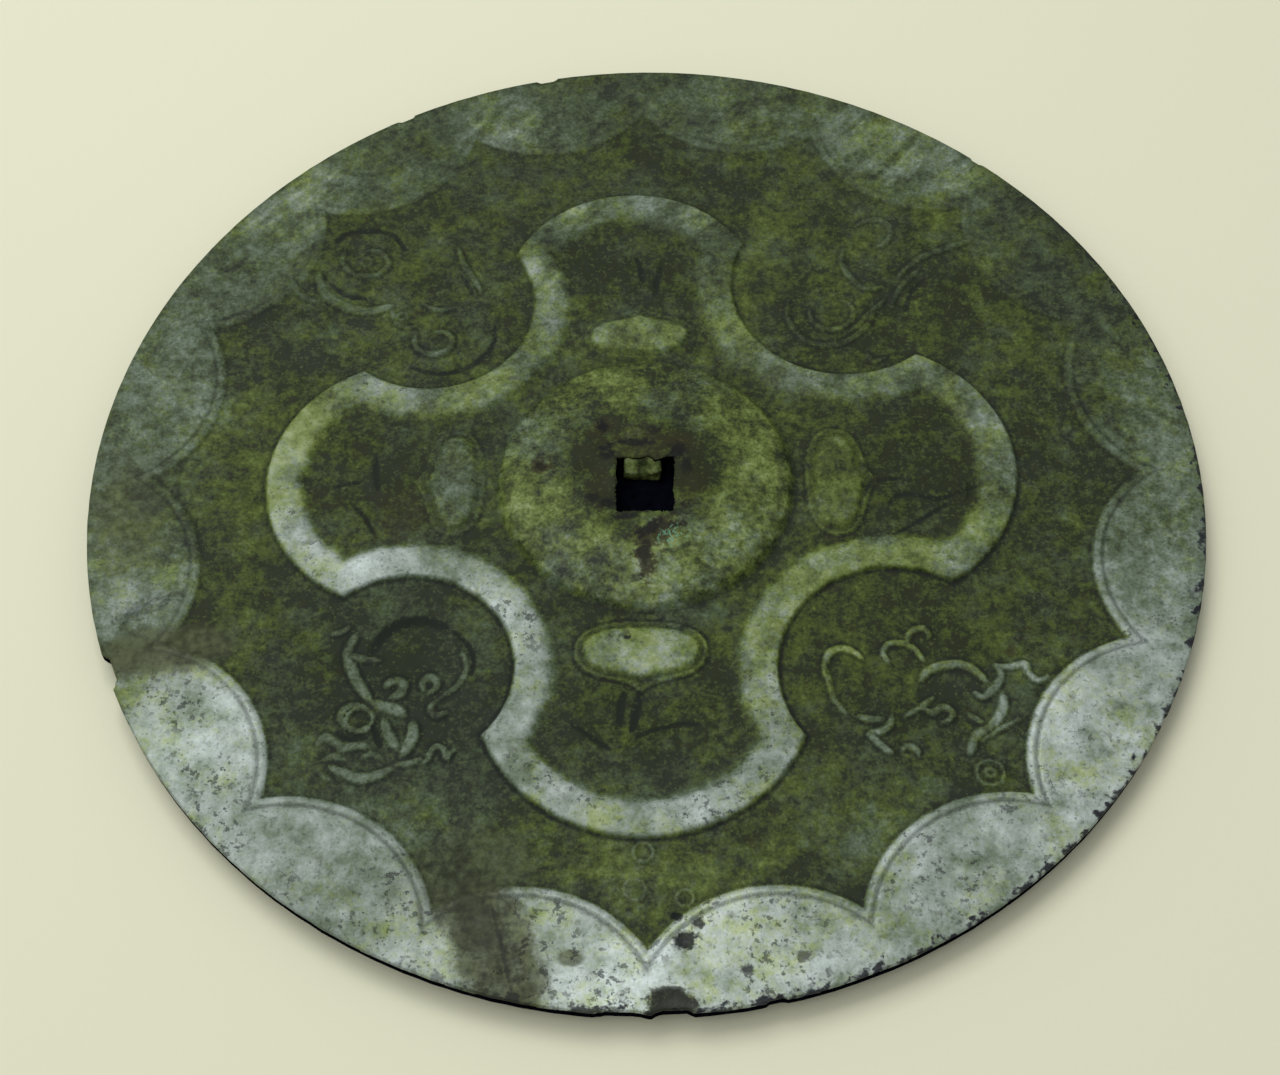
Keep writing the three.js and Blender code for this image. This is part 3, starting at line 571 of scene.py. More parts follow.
        band = soft_step(-outer, -0.1, 0.45) * soft_step(inner, -0.5, 1.5)
        crown = np.sqrt(np.clip(1 - ((-outer - 2.2) / 5.0) ** 2, 0, 1))
        height = height + self.band_height * band * (0.3 + 0.7 * crown) * (0.6 + 0.4 * crisp)

        oval_base = soft_step(-base, -0.1, 0.3)
        bead = close_to(base + 0.35, 0.05, 0.4)
        oval_pad = soft_step(-pad, -0.15, 0.9)
        height = height + (0.16 * oval_base + 0.1 * bead) * crisp
        height = height + (self.oval_height - 0.2) * oval_pad * (0.85 + 0.15 * soft_step(-pad, 0, 3))

        boss = soft_step(self.boss_radius - r, -0.1, 0.9)
        dome = self.boss_edge + (self.boss_height - self.boss_edge) * (1 - (r / self.boss_radius) ** 2)
        ring = close_to(r - 11.4, 0.2, 1.1)
        height = height + boss * dome - 0.1 * ring

        stroke = np.clip(1 - (line / half_width) ** 2, 0, 1)
        height = height + line_height * 0.8 * stroke**0.7
        for pit_x, pit_y, radius, depth in PITS:
            far = np.hypot(x - pit_x, y - pit_y)
            height = height - depth * soft_step(radius - far, 0, radius * 0.7)

        # How pale each form has worn, from the ground up.
        worn = 0.08 + patches(x, y, GROUND_WEAR)
        steps = np.arange(ARC_COUNT) * 360 / ARC_COUNT
        # The rim, band and ovals are paler to the south partly as painted sheen.
        rim_wear_and_sheen = np.interp(around, steps + 180 / ARC_COUNT, RIM_WEAR_AND_SHEEN, period=360)
        band_wear_and_sheen = np.interp(around, steps, BAND_WEAR_AND_SHEEN, period=360)
        oval_wear_and_sheen = np.interp(around, (0, 90, 180, 270), OVAL_WEAR_AND_SHEEN, period=360)
        worn = worn + rim * (rim_wear_and_sheen - worn)
        worn = worn + band * (band_wear_and_sheen - worn)
        worn = worn + oval_pad * (oval_wear_and_sheen - worn)
        worn = worn + bead * 0.13 * crisp
        boss_wear = 0.175 - 0.1 * soft_step(11 - r, -2, 2) + 0.03 * np.sin(np.radians(-around))
        worn = worn + boss * (boss_wear - worn)
        raised = np.maximum(np.maximum(rim, band), r < self.boss_radius)
        worn = worn + raised * patches(x, y, WORN_PATCHES)
        # Painted light: the strokes' tops are painted paler towards the south.
        wear_and_painted_light = 0.1 + 0.17 * soft_step(-y, 0, 30)
        on_line = soft_step(stroke, 0.1, 0.9)
        worn = worn + on_line * wear_and_painted_light * (line_height / 0.4)

        # The sunk lines and the foot of each form are darkened: partly dirt in the hollows, partly painted
        # shade, heavier on some sides of a form than on others.
        crease = groove * rim * 0.5
        for share, gap, start, end in (
            (0.6 * crisp, outer - 0.2, 0.05, 0.4),
            (0.5 * crisp, base - 0.2, 0.05, 0.35),
            (0.3 * crisp, arc - 0.2, 0.05, 0.4),
            (0.35 * crisp, r - self.boss_radius - 0.3, 0.1, 0.6),
            (0.3 * soft_step(x * 0.6 - y, -16, 10), r - 19.8, 0.05, 0.45),
            (0.3 * soft_step(y, -8, 10), r - 13.2, 0.05, 0.6),
            (0.4 * np.minimum(1, line_height / 0.34), line - half_width - 0.1, 0.05, 0.4),
        ):
            crease = np.maximum(crease, share * close_to(gap, start, end))
        crease = np.maximum(crease, 0.4 * on_line * (line_height < 0))

        cool = np.full(x.shape, 0.33)
        cool = cool + rim * (0.66 - cool) + band * 0.2 - boss * 0.1 + 0.3 * on_line
        cool = cool + patches(x, y, COOL_PATCHES)
        return {"height": height, "worn": worn, "crease": crease, "cool": cool}


class Socket:
    """A shader socket that can be used in an expression, which adds its Math nodes."""

    def __init__(self, graph, socket):
        self.graph = graph
        self.socket = socket

    def maths(self, operation, *values):
        return self.graph.node("ShaderNodeMath", {"operation": operation}, dict(enumerate(values)))

    def __add__(self, other):
        return self.maths("ADD", self, other)

    def __radd__(self, other):
        return self.maths("ADD", other, self)

    def __sub__(self, other):
        return self.maths("SUBTRACT", self, other)

    def __rsub__(self, other):
        return self.maths("SUBTRACT", other, self)

    def __mul__(self, other):
        return self.maths("MULTIPLY", self, other)

    def __rmul__(self, other):
        return self.maths("MULTIPLY", other, self)

    def most(self, other):
        """The larger of two values."""
        return self.maths("MAXIMUM", self, other)

    def step(self, start, end):
        """0 up to start and 1 from end on, with a smooth way between."""
        settings = {"interpolation_type": "SMOOTHSTEP", "clamp": True}
        return self.graph.node("ShaderNodeMapRange", settings, {0: self, 1: start, 2: end, 3: 0.0, 4: 1.0})


class Graph:
    """A material's nodes, laid out in the object's own coordinates."""

    def __init__(self, name):
        self.material = bpy.data.materials.new(name)
        self.material.use_nodes = True
        self.tree = self.material.node_tree
        self.tree.nodes.clear()
        self.coords = self.node("ShaderNodeTexCoord", {}, {}, "Object")

    def node(self, kind, settings, sockets, output=0):
        """Adds a node, with its settings first and then the values or links of its sockets."""
        node = self.tree.nodes.new(kind)
        for key, value in settings.items():
            if key == "stops":
                elements = node.color_ramp.elements
                while len(elements) < len(value):
                    elements.new(1.0)
                for element, (place, colour) in zip(elements, value):
                    element.position = place
                    element.color = colour
            else:
                setattr(node, key, value)
        for key, value in sockets.items():
            if isinstance(value, Socket):
                self.tree.links.new(value.socket, node.inputs[key])
            else:
                node.inputs[key].default_value = value
        return Socket(self, node.outputs[output])

    def noise(self, size, detail=2.0, roughness=0.5, turn=0.0, coords=None):
        """Soft noise whose features are about as large as size, in millimetres."""
        placed = self.node("ShaderNodeMapping", {}, {0: coords or self.coords, 1: (turn, -turn, 0.5 * turn)})
        sockets = {"Vector": placed, "Scale": 1 / (size * MM), "Detail": detail, "Roughness": roughness}
        return self.node("ShaderNodeTexNoise", {}, sockets)

    def mark(self, name):
        """One of the marks that the mesh's points carry."""
        return self.node("ShaderNodeAttribute", {"attribute_name": name}, {}, "Fac")

    def ramp(self, level, *colours):
        """Four colours, from the deepest hollows to the palest wear."""
        stops = tuple(zip((0.0, 0.2, 0.42, 1.0), colours))
        return self.node("ShaderNodeValToRGB", {"stops": stops}, {0: level})

    def mix(self, factor, first, second):
        settings = {"data_type": "RGBA", "clamp_factor": True}
        return self.node("ShaderNodeMix", settings, {0: factor, 6: first, 7: second}, 2)

    def blot(self, ragged, place, reach, turn, soft):
        """A ragged oval spot: its middle and half sizes in millimetres, and how it is turned in degrees."""
        sockets = {
            0: self.coords,
            1: (place[0] * MM, place[1] * MM, 0),
            2: (0, 0, math.radians(turn)),
            3: (reach[0] * MM, reach[1] * MM, 1),
        }
        placed = self.node("ShaderNodeMapping", {"vector_type": "TEXTURE"}, sockets)
        far = self.node("ShaderNodeVectorMath", {"operation": "LENGTH"}, {0: placed}, 1)
        return 1 - (far + ragged).step(1 - soft, 1 + soft)

    def blots(self, ragged, rows):
        """All the spots of a table."""
        found = 0.0
        for place, reach, turn, soft, weight in rows:
            found = (self.blot(ragged, place, reach, turn, soft) * weight).most(found)
        return found

    def finish(self, sockets):
        """Ends the material in one surface with these sockets."""
        surface = self.node("ShaderNodeBsdfPrincipled", {}, sockets)
        output = self.tree.nodes.new("ShaderNodeOutputMaterial")
        self.tree.links.new(surface.socket, output.inputs[0])
        return self.material


def paint(red, green, blue):
    """A colour given as screen values from 0 to 255, in Blender's linear values."""
    shares = [value / 255 for value in (red, green, blue)]
    return (*(v / 12.92 if v < 0.0404 else ((v + 0.055) / 1.055) ** 2.4 for v in shares), 1.0)


def length(name, description, default):
    """A length in metres that can be set."""
    texts = {"name": name, "description": description}
    return FloatProperty(**texts, default=default, min=0, unit="LENGTH", precision=5)


def tint(name, description, default):
    """A colour that can be set."""
    texts = {"name": name, "description": description}
    return FloatVectorProperty(**texts, default=default, size=4, min=0, max=1, subtype="COLOR")


def brightness(name, description, default, unit="NONE"):
    """A light's power or strength that can be set."""
    return FloatProperty(name=name, description=description, default=default, min=0, unit=unit)


class MirrorSizes(bpy.types.PropertyGroup):
    """The mirror's sizes, in metres."""

    disc_radius: length("Radius", "From the middle to the edge", (CAD_BOX[1][0] - CAD_BOX[0][0]) / 2)
    rim_thickness: length("Rim thickness", "Thickness at the edge", 0.0022)
    face_bulge: length("Face bulge", "How far the polished face bulges down", 0.0024)
    back_dish: length("Back dish", "How far the back is dished", 0.0024)
    flat_spot_radius: length("Flat spot", "Radius of the flat spot under the face", 0.028)
    edge_round: length("Edge rounding", "Radius of the worn corners of the edge", 0.00035)
    rim_step: length("Rim step", "Height of the rim above the ground", 0.0005)
    band_height: length("Band height", "Height of the quatrefoil band", 0.0008)
    band_width: length("Band width", "Width of the quatrefoil band", 0.0059)
    oval_height: length("Oval height", "Height of the four ovals", 0.00085)
    boss_radius: length("Boss radius", "Radius of the boss", 0.0216)
    boss_edge_height: length("Boss edge", "Height of the boss at its edge", 0.0011)
    boss_height: length("Boss height", "Height of the boss in its middle", 0.0031)
    recess_width: length("Recess width", "Width of the square recess", 0.0082)
    recess_length: length("Recess length", "Length of the square recess", 0.0091)
    recess_floor: length("Recess floor", "Height of the recess's floor above the face", 0.001)
    fine_spacing: length("Fine spacing", "Distance between points where the relief is fine", 0.00033)
    coarse_spacing: length("Coarse spacing", "Distance between points on plain surfaces", 0.0018)
    spin_steps: IntProperty(name="Spin steps", description="Steps of the spun blank", default=128, min=24)


class PatinaColours(bpy.types.PropertyGroup):
    """The patina's colours."""

    moss_dark: tint("Moss, dark", "Deep olive of the hollows", paint(27, 35, 8))
    moss: tint("Moss", "Olive of the ground", paint(68, 82, 28))
    moss_pale: tint("Moss, pale", "Yellow-green where it is worn", paint(104, 120, 60))
    moss_bloom: tint("Moss bloom", "Palest yellow-green", paint(172, 184, 144))
    slate_dark: tint("Slate, dark", "Deep grey of the hollows", paint(28, 37, 22))
    slate: tint("Slate", "Grey-green of the ground", paint(64, 77, 52))
    slate_pale: tint("Slate, pale", "Grey where it is worn", paint(97, 111, 94))
    slate_bloom: tint("Slate bloom", "Palest blue-grey", paint(182, 193, 190))
    # Soot also stands for painted shade, in the hollows, in the recess and on the side of the edge.
    soot_and_shade: tint("Soot", "Nearly black in the deepest hollows and on the side of the edge", paint(13, 14, 24))
    rust: tint("Rust", "Brown stains", paint(48, 44, 20))
    silt: tint("Silt", "Dark olive-brown dirt", paint(48, 54, 30))
    silt_pale: tint("Silt, pale", "Olive-brown dirt where it is thin", paint(76, 84, 54))
    verdigris: tint("Verdigris", "Bright blue-green grains of corrosion", paint(92, 138, 112))


class StageSettings(bpy.types.PropertyGroup):
    """The floor and the lights."""

    floor_size: length("Floor size", "Side of the square floor", 4.0)
    floor_colour: tint("Floor colour", "Colour of the plain floor", paint(221, 221, 195))
    key_power: brightness("Key light", "Power of the key softbox", 2.7, "POWER")
    fill_power: brightness("Fill light", "Power of the fill softbox", 3.3, "POWER")
    sky_strength: brightness("Sky", "Strength of the even light", 0.42)


def spun_blank(carving, edge_round, steps):
    """The disc before it is carved: its profile, spun about the middle, as triangles in millimetres."""
    mesh = bmesh.new()
    radius = carving.radius
    profile = [(r, carving.back(r)) for r in np.linspace(0, radius - edge_round - 0.6, 24)]
    top, foot = carving.back(radius), float(carving.face(radius))
    corner = radius - edge_round
    profile += [(corner, top - edge_round) + polar(edge_round, turn) for turn in (90, 60, 30, 0)]
    profile.append((radius, (top + foot) / 2))
    profile += [(corner, foot + edge_round) + polar(edge_round, turn) for turn in (0, -30, -60, -90)]
    profile += [(r, float(carving.face(r))) for r in np.linspace(radius - edge_round - 1, 0, 20)]
    corners = [mesh.verts.new((r, 0, z)) for r, z in profile]
    line = [mesh.edges.new(pair) for pair in zip(corners, corners[1:])]
    turn = {"cent": (0, 0, 0), "axis": (0, 0, 1), "angle": 2 * math.pi, "steps": steps}
    bmesh.ops.spin(mesh, geom=corners + line, use_merge=True, **turn)
    bmesh.ops.remove_doubles(mesh, verts=mesh.verts, dist=1e-4)
    bmesh.ops.recalc_face_normals(mesh, faces=mesh.faces)
    bmesh.ops.triangulate(mesh, faces=mesh.faces)
    return mesh


def cut_to_triangles(mesh):
    """Cuts each larger face into triangles."""
    bmesh.ops.triangulate(mesh, faces=[face for face in mesh.faces if len(face.verts) > 3])


def faces_up(mesh, half_x, middle_y, half_y):
    """The faces that look up and have their middle in a rectangle about the north line."""
    found = []
    for face in mesh.faces:
        middle = face.calc_center_median()
        if face.normal.z > 0.3 and abs(middle.x) < half_x and abs(middle.y - middle_y) < half_y:
            found.append(face)
    return found


def ends_of(edges):
    """The points at the ends of some edges, each once."""
    return list(dict.fromkeys(vert for edge in edges for vert in edge.verts))


def refine(mesh, carving, fine, coarse):
    """Cuts long edges in two until the points are as close together as the carving needs."""
    for _round in range(12):
        edges = list(mesh.edges)
        ends = np.array([(*edge.verts[0].co, *edge.verts[1].co) for edge in edges])
        middle = (ends[:, :3] + ends[:, 3:]) / 2
        span = np.linalg.norm(ends[:, :3] - ends[:, 3:], axis=1)
        r = np.hypot(middle[:, 0], middle[:, 1])
        above = middle[:, 2] > carving.middle(r)
        side = r > carving.radius - 0.5
        allowed = np.full(len(edges), 9.0)
        busy = (span > fine) & (above | side)
        allowed[busy] = carving.spacing(middle[busy, 0], middle[busy, 1], fine, coarse)
        allowed[side & ~above] = np.maximum(allowed[side & ~above], 0.5)
        chosen = np.nonzero(span > 1.4 * allowed)[0]
        if not len(chosen):
            break
        bmesh.ops.subdivide_edges(mesh, edges=[edges[i] for i in chosen], cuts=1, use_single_edge=True)
        cut_to_triangles(mesh)


def open_recess(mesh, sizes, carving):
    """Cuts the square hole in the boss's middle and gives it walls and a floor."""
    half_x, half_y = sizes.recess_width / MM / 2, sizes.recess_length / MM / 2
    for x, y in ((half_x, 0), (-half_x, 0), (0, half_y), (0, -half_y)):
        near = faces_up(mesh, 9, 0, 10)
        edges = list(dict.fromkeys(edge for face in near for edge in face.edges))
        around = near + edges + ends_of(edges)
        way = Vector((x, y, 0)).normalized()
        bmesh.ops.bisect_plane(mesh, geom=around, plane_co=(x, y + RECESS_SHIFT, 0), plane_no=way, dist=1e-4)
    cut_to_triangles(mesh)
    bmesh.ops.delete(mesh, geom=faces_up(mesh, half_x, RECESS_SHIFT, half_y), context="FACES")
    loop = [edge for edge in mesh.edges if edge.is_boundary]
    # The hole's edge is broken, so it is ragged and slumps a little.
    for vert in ends_of(loop):
        ragged = noise.noise(vert.co * 0.55) * 0.45 + noise.noise(vert.co * 1.6) * 0.14
        out = Vector((vert.co.x, vert.co.y - RECESS_SHIFT, 0)).normalized()
        vert.co += out * ragged
        vert.co.z -= 0.2 + 0.3 * abs(ragged)
    floor = sizes.recess_floor / MM
    top = carving.back(0) - carving.rim_step + carving.boss_height
    outside = set(mesh.faces)
    for share in (0.12, 0.5, 1.0):
        made = bmesh.ops.extrude_edge_only(mesh, edges=loop)["geom"]
        loop = [item for item in made if isinstance(item, bmesh.types.BMEdge) and item.is_boundary]
        for vert in ends_of(loop):
            vert.co.z = top + (floor - top) * share
            widening = 1.0 + 0.05 * noise.noise(vert.co * 0.7) + 0.02 * share
            vert.co.x *= widening
            vert.co.y = RECESS_SHIFT + (vert.co.y - RECESS_SHIFT) * widening
    bmesh.ops.contextual_create(mesh, geom=loop)
    cut_to_triangles(mesh)
    bmesh.ops.recalc_face_normals(mesh, faces=mesh.faces)
    # The recess's walls and floor take the black painted shade.
    for face in set(mesh.faces) - outside:
        face.material_index = 1


def carve(mesh, carving):
    """Moves the blank's points up and down to the relief's heights."""
    mesh.verts.ensure_lookup_table()
    x, y, z = np.array([vert.co for vert in mesh.verts]).T
    r = np.hypot(x, y)
    inner = carving.radius - PLAIN_BORDER
    height = carving.survey(x, y)["height"] + carving.back(r) - carving.rim_step
    for i in np.nonzero((z > carving.middle(r)) & (r < inner))[0]:
        vert = mesh.verts[i]
        near = Vector((vert.co.x, vert.co.y, 0))
        uneven = sum(depth * noise.noise(near * scale) for depth, scale in UNEVENNESS)
        fade = min(1.0, (inner - r[i]) / 2)
        crumble = max(0.0, 1 - max(0.0, math.hypot(near.x, near.y - RECESS_SHIFT) - 5.6) / 2.5)
        uneven -= 0.22 * crumble * abs(noise.noise(near * 0.8)) + 0.1 * crumble
        vert.co.z = height[i] + uneven * fade


def chip_edge(mesh, carving):
    """Presses the edge in at the chips, and makes the rest of it slightly uneven."""
    for vert in mesh.verts:
        r = math.hypot(vert.co.x, vert.co.y)
        if r < carving.radius - CHIP_REACH:
            continue
        angle = math.degrees(math.atan2(vert.co.y, vert.co.x))
        bite = 0.03 + 0.05 * noise.noise(Vector((vert.co.x, vert.co.y, 0)) * 0.5)
        for place, half_width, depth in CHIPS:
            along = math.radians(abs((angle - place + 180) % 360 - 180)) * carving.radius
            ragged = 0.25 * noise.noise(Vector((vert.co.x * 1.7, vert.co.y * 1.7, place)))
            share = max(0.0, 1 - (along / half_width) ** 2 + ragged)
            if along < half_width:
                bite = max(bite, depth * min(1.0, share * 1.5))
        pull = (r - (carving.radius - CHIP_REACH)) / CHIP_REACH
        scale = (r - bite * pull**2) / r
        vert.co.x *= scale
        vert.co.y *= scale


def shade_edge_side(mesh, carving):
    """Gives the side of the edge the black painted shade, with a wavering upper line."""
    for face in mesh.faces:
        place = face.calc_center_median()
        top = carving.back(carving.radius) - 0.45 - 0.25 * noise.noise(place * 0.7)
        outside = math.hypot(place.x, place.y) > carving.radius - 1.3
        if outside and place.z < top and abs(face.normal.z) < 0.75:
            face.material_index = 1


def piece_from(mesh, name, *materials):
    """Makes an object of a mesh that was built in millimetres."""
    bmesh.ops.scale(mesh, vec=(MM, MM, MM), verts=mesh.verts)
    for face in mesh.faces:
        face.smooth = True
    data = bpy.data.meshes.new(name)
    mesh.to_mesh(data)
    mesh.free()
    for material in materials:
        data.materials.append(material)
    piece = bpy.data.objects.new(name, data)
    bpy.context.scene.collection.objects.link(piece)
    return piece


def points_of(piece):
    """The three coordinates of all of a piece's points, in millimetres."""
    flat = np.zeros(len(piece.data.vertices) * 3)
    piece.data.vertices.foreach_get("co", flat)
    return flat.reshape(-1, 3).T / MM


def store_marks(piece, *marks):
    """Stores the patina's marks on a piece's points, in the order of their names."""
    for name, values in zip(MARKS, marks):
        mark = piece.data.attributes.new(name, "FLOAT", "POINT")
        mark.data.foreach_set("value", values.astype(np.float32))


def mark_casting(piece, carving):
    """Gives the casting its marks. The walls of the recess and the side of the edge are painted black as
    shade.
    """
    x, y, z = points_of(piece)
    r = np.hypot(x, y)
    found = carving.survey(x, y)
    below = z < carving.middle(r)
    side = r > carving.radius - 2
    under = below & (r < carving.radius - 0.5) & ((r > 9) | (z < 0.3))
    wall = (np.abs(x) < 5.0) & (np.abs(y - RECESS_SHIFT) < 5.4) & (z < 4.3) & ~under
    worn = np.where(under, 0.3, found["worn"])
    cool = np.where(under, 0.55, found["cool"])
    crease = np.where(under, 0.0, found["crease"])
    top = carving.back(r) - carving.rim_step + found["height"]
    # Painted shade: the recess's walls and the side of the edge are marked fully dark, and the top of the
    # edge's side darkens below the carved surface.
    side_painted_shade = soft_step(top - z, 0.3, 0.6) * (r > carving.radius - 0.9)
    crease = np.where(wall | (side & below & ~under), 1.0, np.maximum(crease, side_painted_shade * ~under))
    store_marks(piece, worn, crease, cool, 1.0 - under)


def patina(colours):
    """The mirror's finish: olive and slate patina, worn pale on the raised parts with painted sheen to the
    south, darkened with painted shade in the hollows, stained and pitted.
    """
    g = Graph("bronze_patina")
    worn, crease, cool, stained = (g.mark(name) for name in MARKS)

    cloud = g.noise(9, 3, 0.55)
    patch = g.noise(3.4, 3, 0.6, 0.31)
    mottle = g.noise(1.3, 3, 0.6, 0.57)
    speck = g.noise(0.45, 2, 0.6, 0.83)
    tone = g.noise(5.5, 4, 0.62, 1.21)
    grain = g.noise(0.8, 2, 0.5, 1.47)
    # Wiping has left streaks that run to the north-east.
    along = {0: g.coords, 2: (0, 0, math.radians(47)), 3: (5.0, 1.0, 1.0)}
    streak = g.noise(2.4, 4, 0.6, 0.2, g.node("ShaderNodeMapping", {"vector_type": "TEXTURE"}, along))

    eastward = g.node("ShaderNodeSeparateXYZ", {}, {0: g.coords}, "X")
    northward = g.node("ShaderNodeSeparateXYZ", {}, {0: g.coords}, "Y")
    north = northward.step(0.02, 0.055)
    flat_way = g.node("ShaderNodeVectorMath", {"operation": "MULTIPLY"}, {0: g.coords, 1: (1000, 1000, 0)})
    radius = g.node("ShaderNodeVectorMath", {"operation": "LENGTH"}, {0: flat_way}, 1)
    on_boss = 1 - radius.step(20.5, 21.5)

    # How pale the patina is: the wear, with the painted sheen and light it carries, made uneven by noise of
    # several sizes.
    strength = (worn * 0.5 + 0.27 + on_boss * 0.1) * (1 - north * 0.12)
    calm = 1 - worn.step(0.25, 0.6) * 0.6
    fine_grain = (mottle - 0.5) * 1.7 + (speck - 0.5) * 1.1
    unevenness = (cloud - 0.5) * 1.4 + (patch - 0.5) * 1.5 + fine_grain * calm
    unevenness = unevenness + (streak - 0.5) * (north * worn.step(0.1, 0.3) * 2.1 + 0.3)
    level = worn + unevenness * strength - crease * 0.1
    moss = g.ramp(level, colours.moss_dark, colours.moss, colours.moss_pale, colours.moss_bloom)
    slate = g.ramp(level, colours.slate_dark, colours.slate, colours.slate_pale, colours.slate_bloom)
    hue = cool + (tone - 0.5) * 2.2 + (grain - 0.5) * 1.1
    colour = g.mix(hue.step(0.1, 0.9), moss, slate)

    grains = g.noise(0.6, 1, 0.5, 6.1)
    colour = g.mix(grains.step(0.62, 0.72) * 0.22, colour, colours.moss_pale)
    colour = g.mix((1 - grains).step(0.62, 0.72) * 0.4, colour, colours.moss_dark)

    # Rust and pale dirt.
    ragged = (g.noise(2.2, 3, 0.6, 3.1) - 0.5) * 0.9
    torn = ragged * 0.6 + (mottle - 0.5) * 1.8 + (speck - 0.5) * 1.0
    rusty = g.noise(2.6, 4, 0.65, 2.3).step(0.6, 0.72) * 0.35
    stains = rusty.most(g.blots(torn, RUST_BLOTS)) * stained
    colour = g.mix(stains, colour, colours.rust)
    silt = g.blots(ragged, SILT_BLOTS) * stained
    silt_colour = g.mix(mottle.step(0.3, 0.7), colours.silt, colours.silt_pale)
    colour = g.mix(silt * (patch * 0.8 + 0.6), colour, silt_colour)

    # Dark flecks in clusters where the metal is pale, soot, the painted shade of the hollows, and the dark
    # fringe of the south-east edge.
    clusters = g.noise(11, 2, 0.5, 3.7).step(0.44, 0.6)
    flecks = g.noise(2.0, 4, 0.7, 4.4).step(0.585, 0.635) * clusters
    small_flecks = g.noise(1.1, 3, 0.6, 5.2).step(0.6, 0.66) * (clusters * 0.7 + 0.2)
    flecks = flecks.most(small_flecks) * worn.step(0.25, 0.55) * 0.65
    fringe = (radius + (mottle - 0.5) * 7 + (patch - 0.5) * 4).step(79.2, 80.2)
    fringe = fringe * (eastward * 0.8 - northward * 0.6).step(-0.01, 0.05)
    dark = flecks.most(g.blots(torn, SOOT_BLOTS) * stained).most(crease).most(fringe * 0.9)
    colour = g.mix(dark * (mottle * 0.4 + 0.8), colour, colours.soot_and_shade)

    sparkle = g.blot(ragged * 0.4, (3.9, -10.6), (2.4, 1.6), 20, 0.3) * speck.step(0.54, 0.6) * 0.8
    colour = g.mix(sparkle * stained, colour, colours.verdigris)

    roughness = 0.74 - worn * 0.42 + (patch - 0.5) * 0.3 + dark * 0.2 + stains * 0.1
    relief = cloud * 0.12 + patch * 0.06 + mottle * 0.035 + speck * 0.016 - flecks * 0.05
    bump = g.node("ShaderNodeBump", {}, {"Strength": 1.0, "Distance": MM, "Height": relief})
    return g.finish({
        "Base Color": colour,
        "Roughness": roughness,
        "Metallic": worn.step(0.3, 1.0) * 0.35,
        "Specular IOR Level": 0.25,
        "Normal": bump,
    })


def plain_black_shade(colours):
    """Painted shade inside the recess and on the side of the edge: plain black without any shine."""
    g = Graph("painted_black_shade")
    colour = g.mix(g.noise(1.2, 3), colours.soot_and_shade, (0, 0, 0, 1))
    return g.finish({"Base Color": colour, "Roughness": 1.0, "Specular IOR Level": 0.0})


def lumps(x):
    """How high the stub's two lumps are at a distance to the east: 0 in its middle and 1 at their tops."""
    return np.sin((x - STUB_MIDDLE[0]) * LUMP_TURN) ** 2


class BRONZE_MIRROR_OT_casting(bpy.types.Operator):
    """Spins the blank, carves its back and gives it its patina"""

    bl_idname = "bronze_mirror.casting"
    bl_label = "Build Casting"

    def execute(self, context):
        sizes = context.scene.mirror_sizes
        carving = Carving(sizes)
        mesh = spun_blank(carving, sizes.edge_round / MM, sizes.spin_steps)
        refine(mesh, carving, sizes.fine_spacing / MM, sizes.coarse_spacing / MM)
        carve(mesh, carving)
        chip_edge(mesh, carving)
        open_recess(mesh, sizes, carving)
        if len(mesh.faces) >= 200000:
            raise RuntimeError(f"the casting has {len(mesh.faces)} triangles, which is too many")
        shade_edge_side(mesh, carving)
        if any(edge.is_boundary for edge in mesh.edges):
            raise RuntimeError("the casting is not closed")
        colours = context.scene.patina_colours
        piece = piece_from(mesh, "mirror_casting", patina(colours), plain_black_shade(colours))
        mark_casting(piece, carving)
        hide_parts("mirror")
        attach(piece, "root")
        return {"FINISHED"}


class BRONZE_MIRROR_OT_stub(bpy.types.Operator):
    """Builds the stub of the broken knob on the recess's north wall"""

    bl_idname = "bronze_mirror.stub"
    bl_label = "Build Knob Stub"

    def execute(self, context):
        mesh = bmesh.new()
        place = Matrix.Translation(STUB_MIDDLE) @ Matrix.Diagonal((5.4, 2.6, 3.4, 1))
        bmesh.ops.create_cube(mesh, size=1, matrix=place)
        # The south half is broken off lower down.
        for vert in mesh.verts:
            if vert.co.z > 3 and vert.co.y < 1.5:
                vert.co.z -= 1.7
        rounding = {"offset": 0.35, "offset_type": "OFFSET", "segments": 3, "profile": 0.5, "material": -1}
        bmesh.ops.bevel(mesh, geom=mesh.edges[:], affect="EDGES", **rounding)
        bmesh.ops.triangulate(mesh, faces=mesh.faces)
        bmesh.ops.subdivide_edges(mesh, edges=mesh.edges[:], cuts=4, use_grid_fill=True)
        bmesh.ops.triangulate(mesh, faces=mesh.faces)
        for vert in mesh.verts:
            sunk = 1 - lumps(vert.co.x)
            vert.co += Vector((0.2, 0.3, 0.3)) * noise.noise(vert.co * 0.9)
            if vert.co.y < STUB_MIDDLE[1]:
                vert.co += Vector((0, 0.5, -0.35)) * sunk
        piece = piece_from(mesh, "knob_stub", bpy.data.materials["bronze_patina"])
        x = points_of(piece)[0]
        # Painted highlight: a bright line runs down between the lumps, and the lumps' tops are painted
        # lighter; the rest of the stub is painted darker as shade.
        wear_and_painted_light = 0.08 + 0.4 * lumps(x) + 0.7 * np.exp(-(((x - STUB_MIDDLE[0]) / 0.3) ** 2))
        store_marks(piece, wear_and_painted_light, 0.4 - 0.5 * wear_and_painted_light, np.full(len(x), 0.3), np.zeros(len(x)))
        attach(piece, "root")
        return {"FINISHED"}


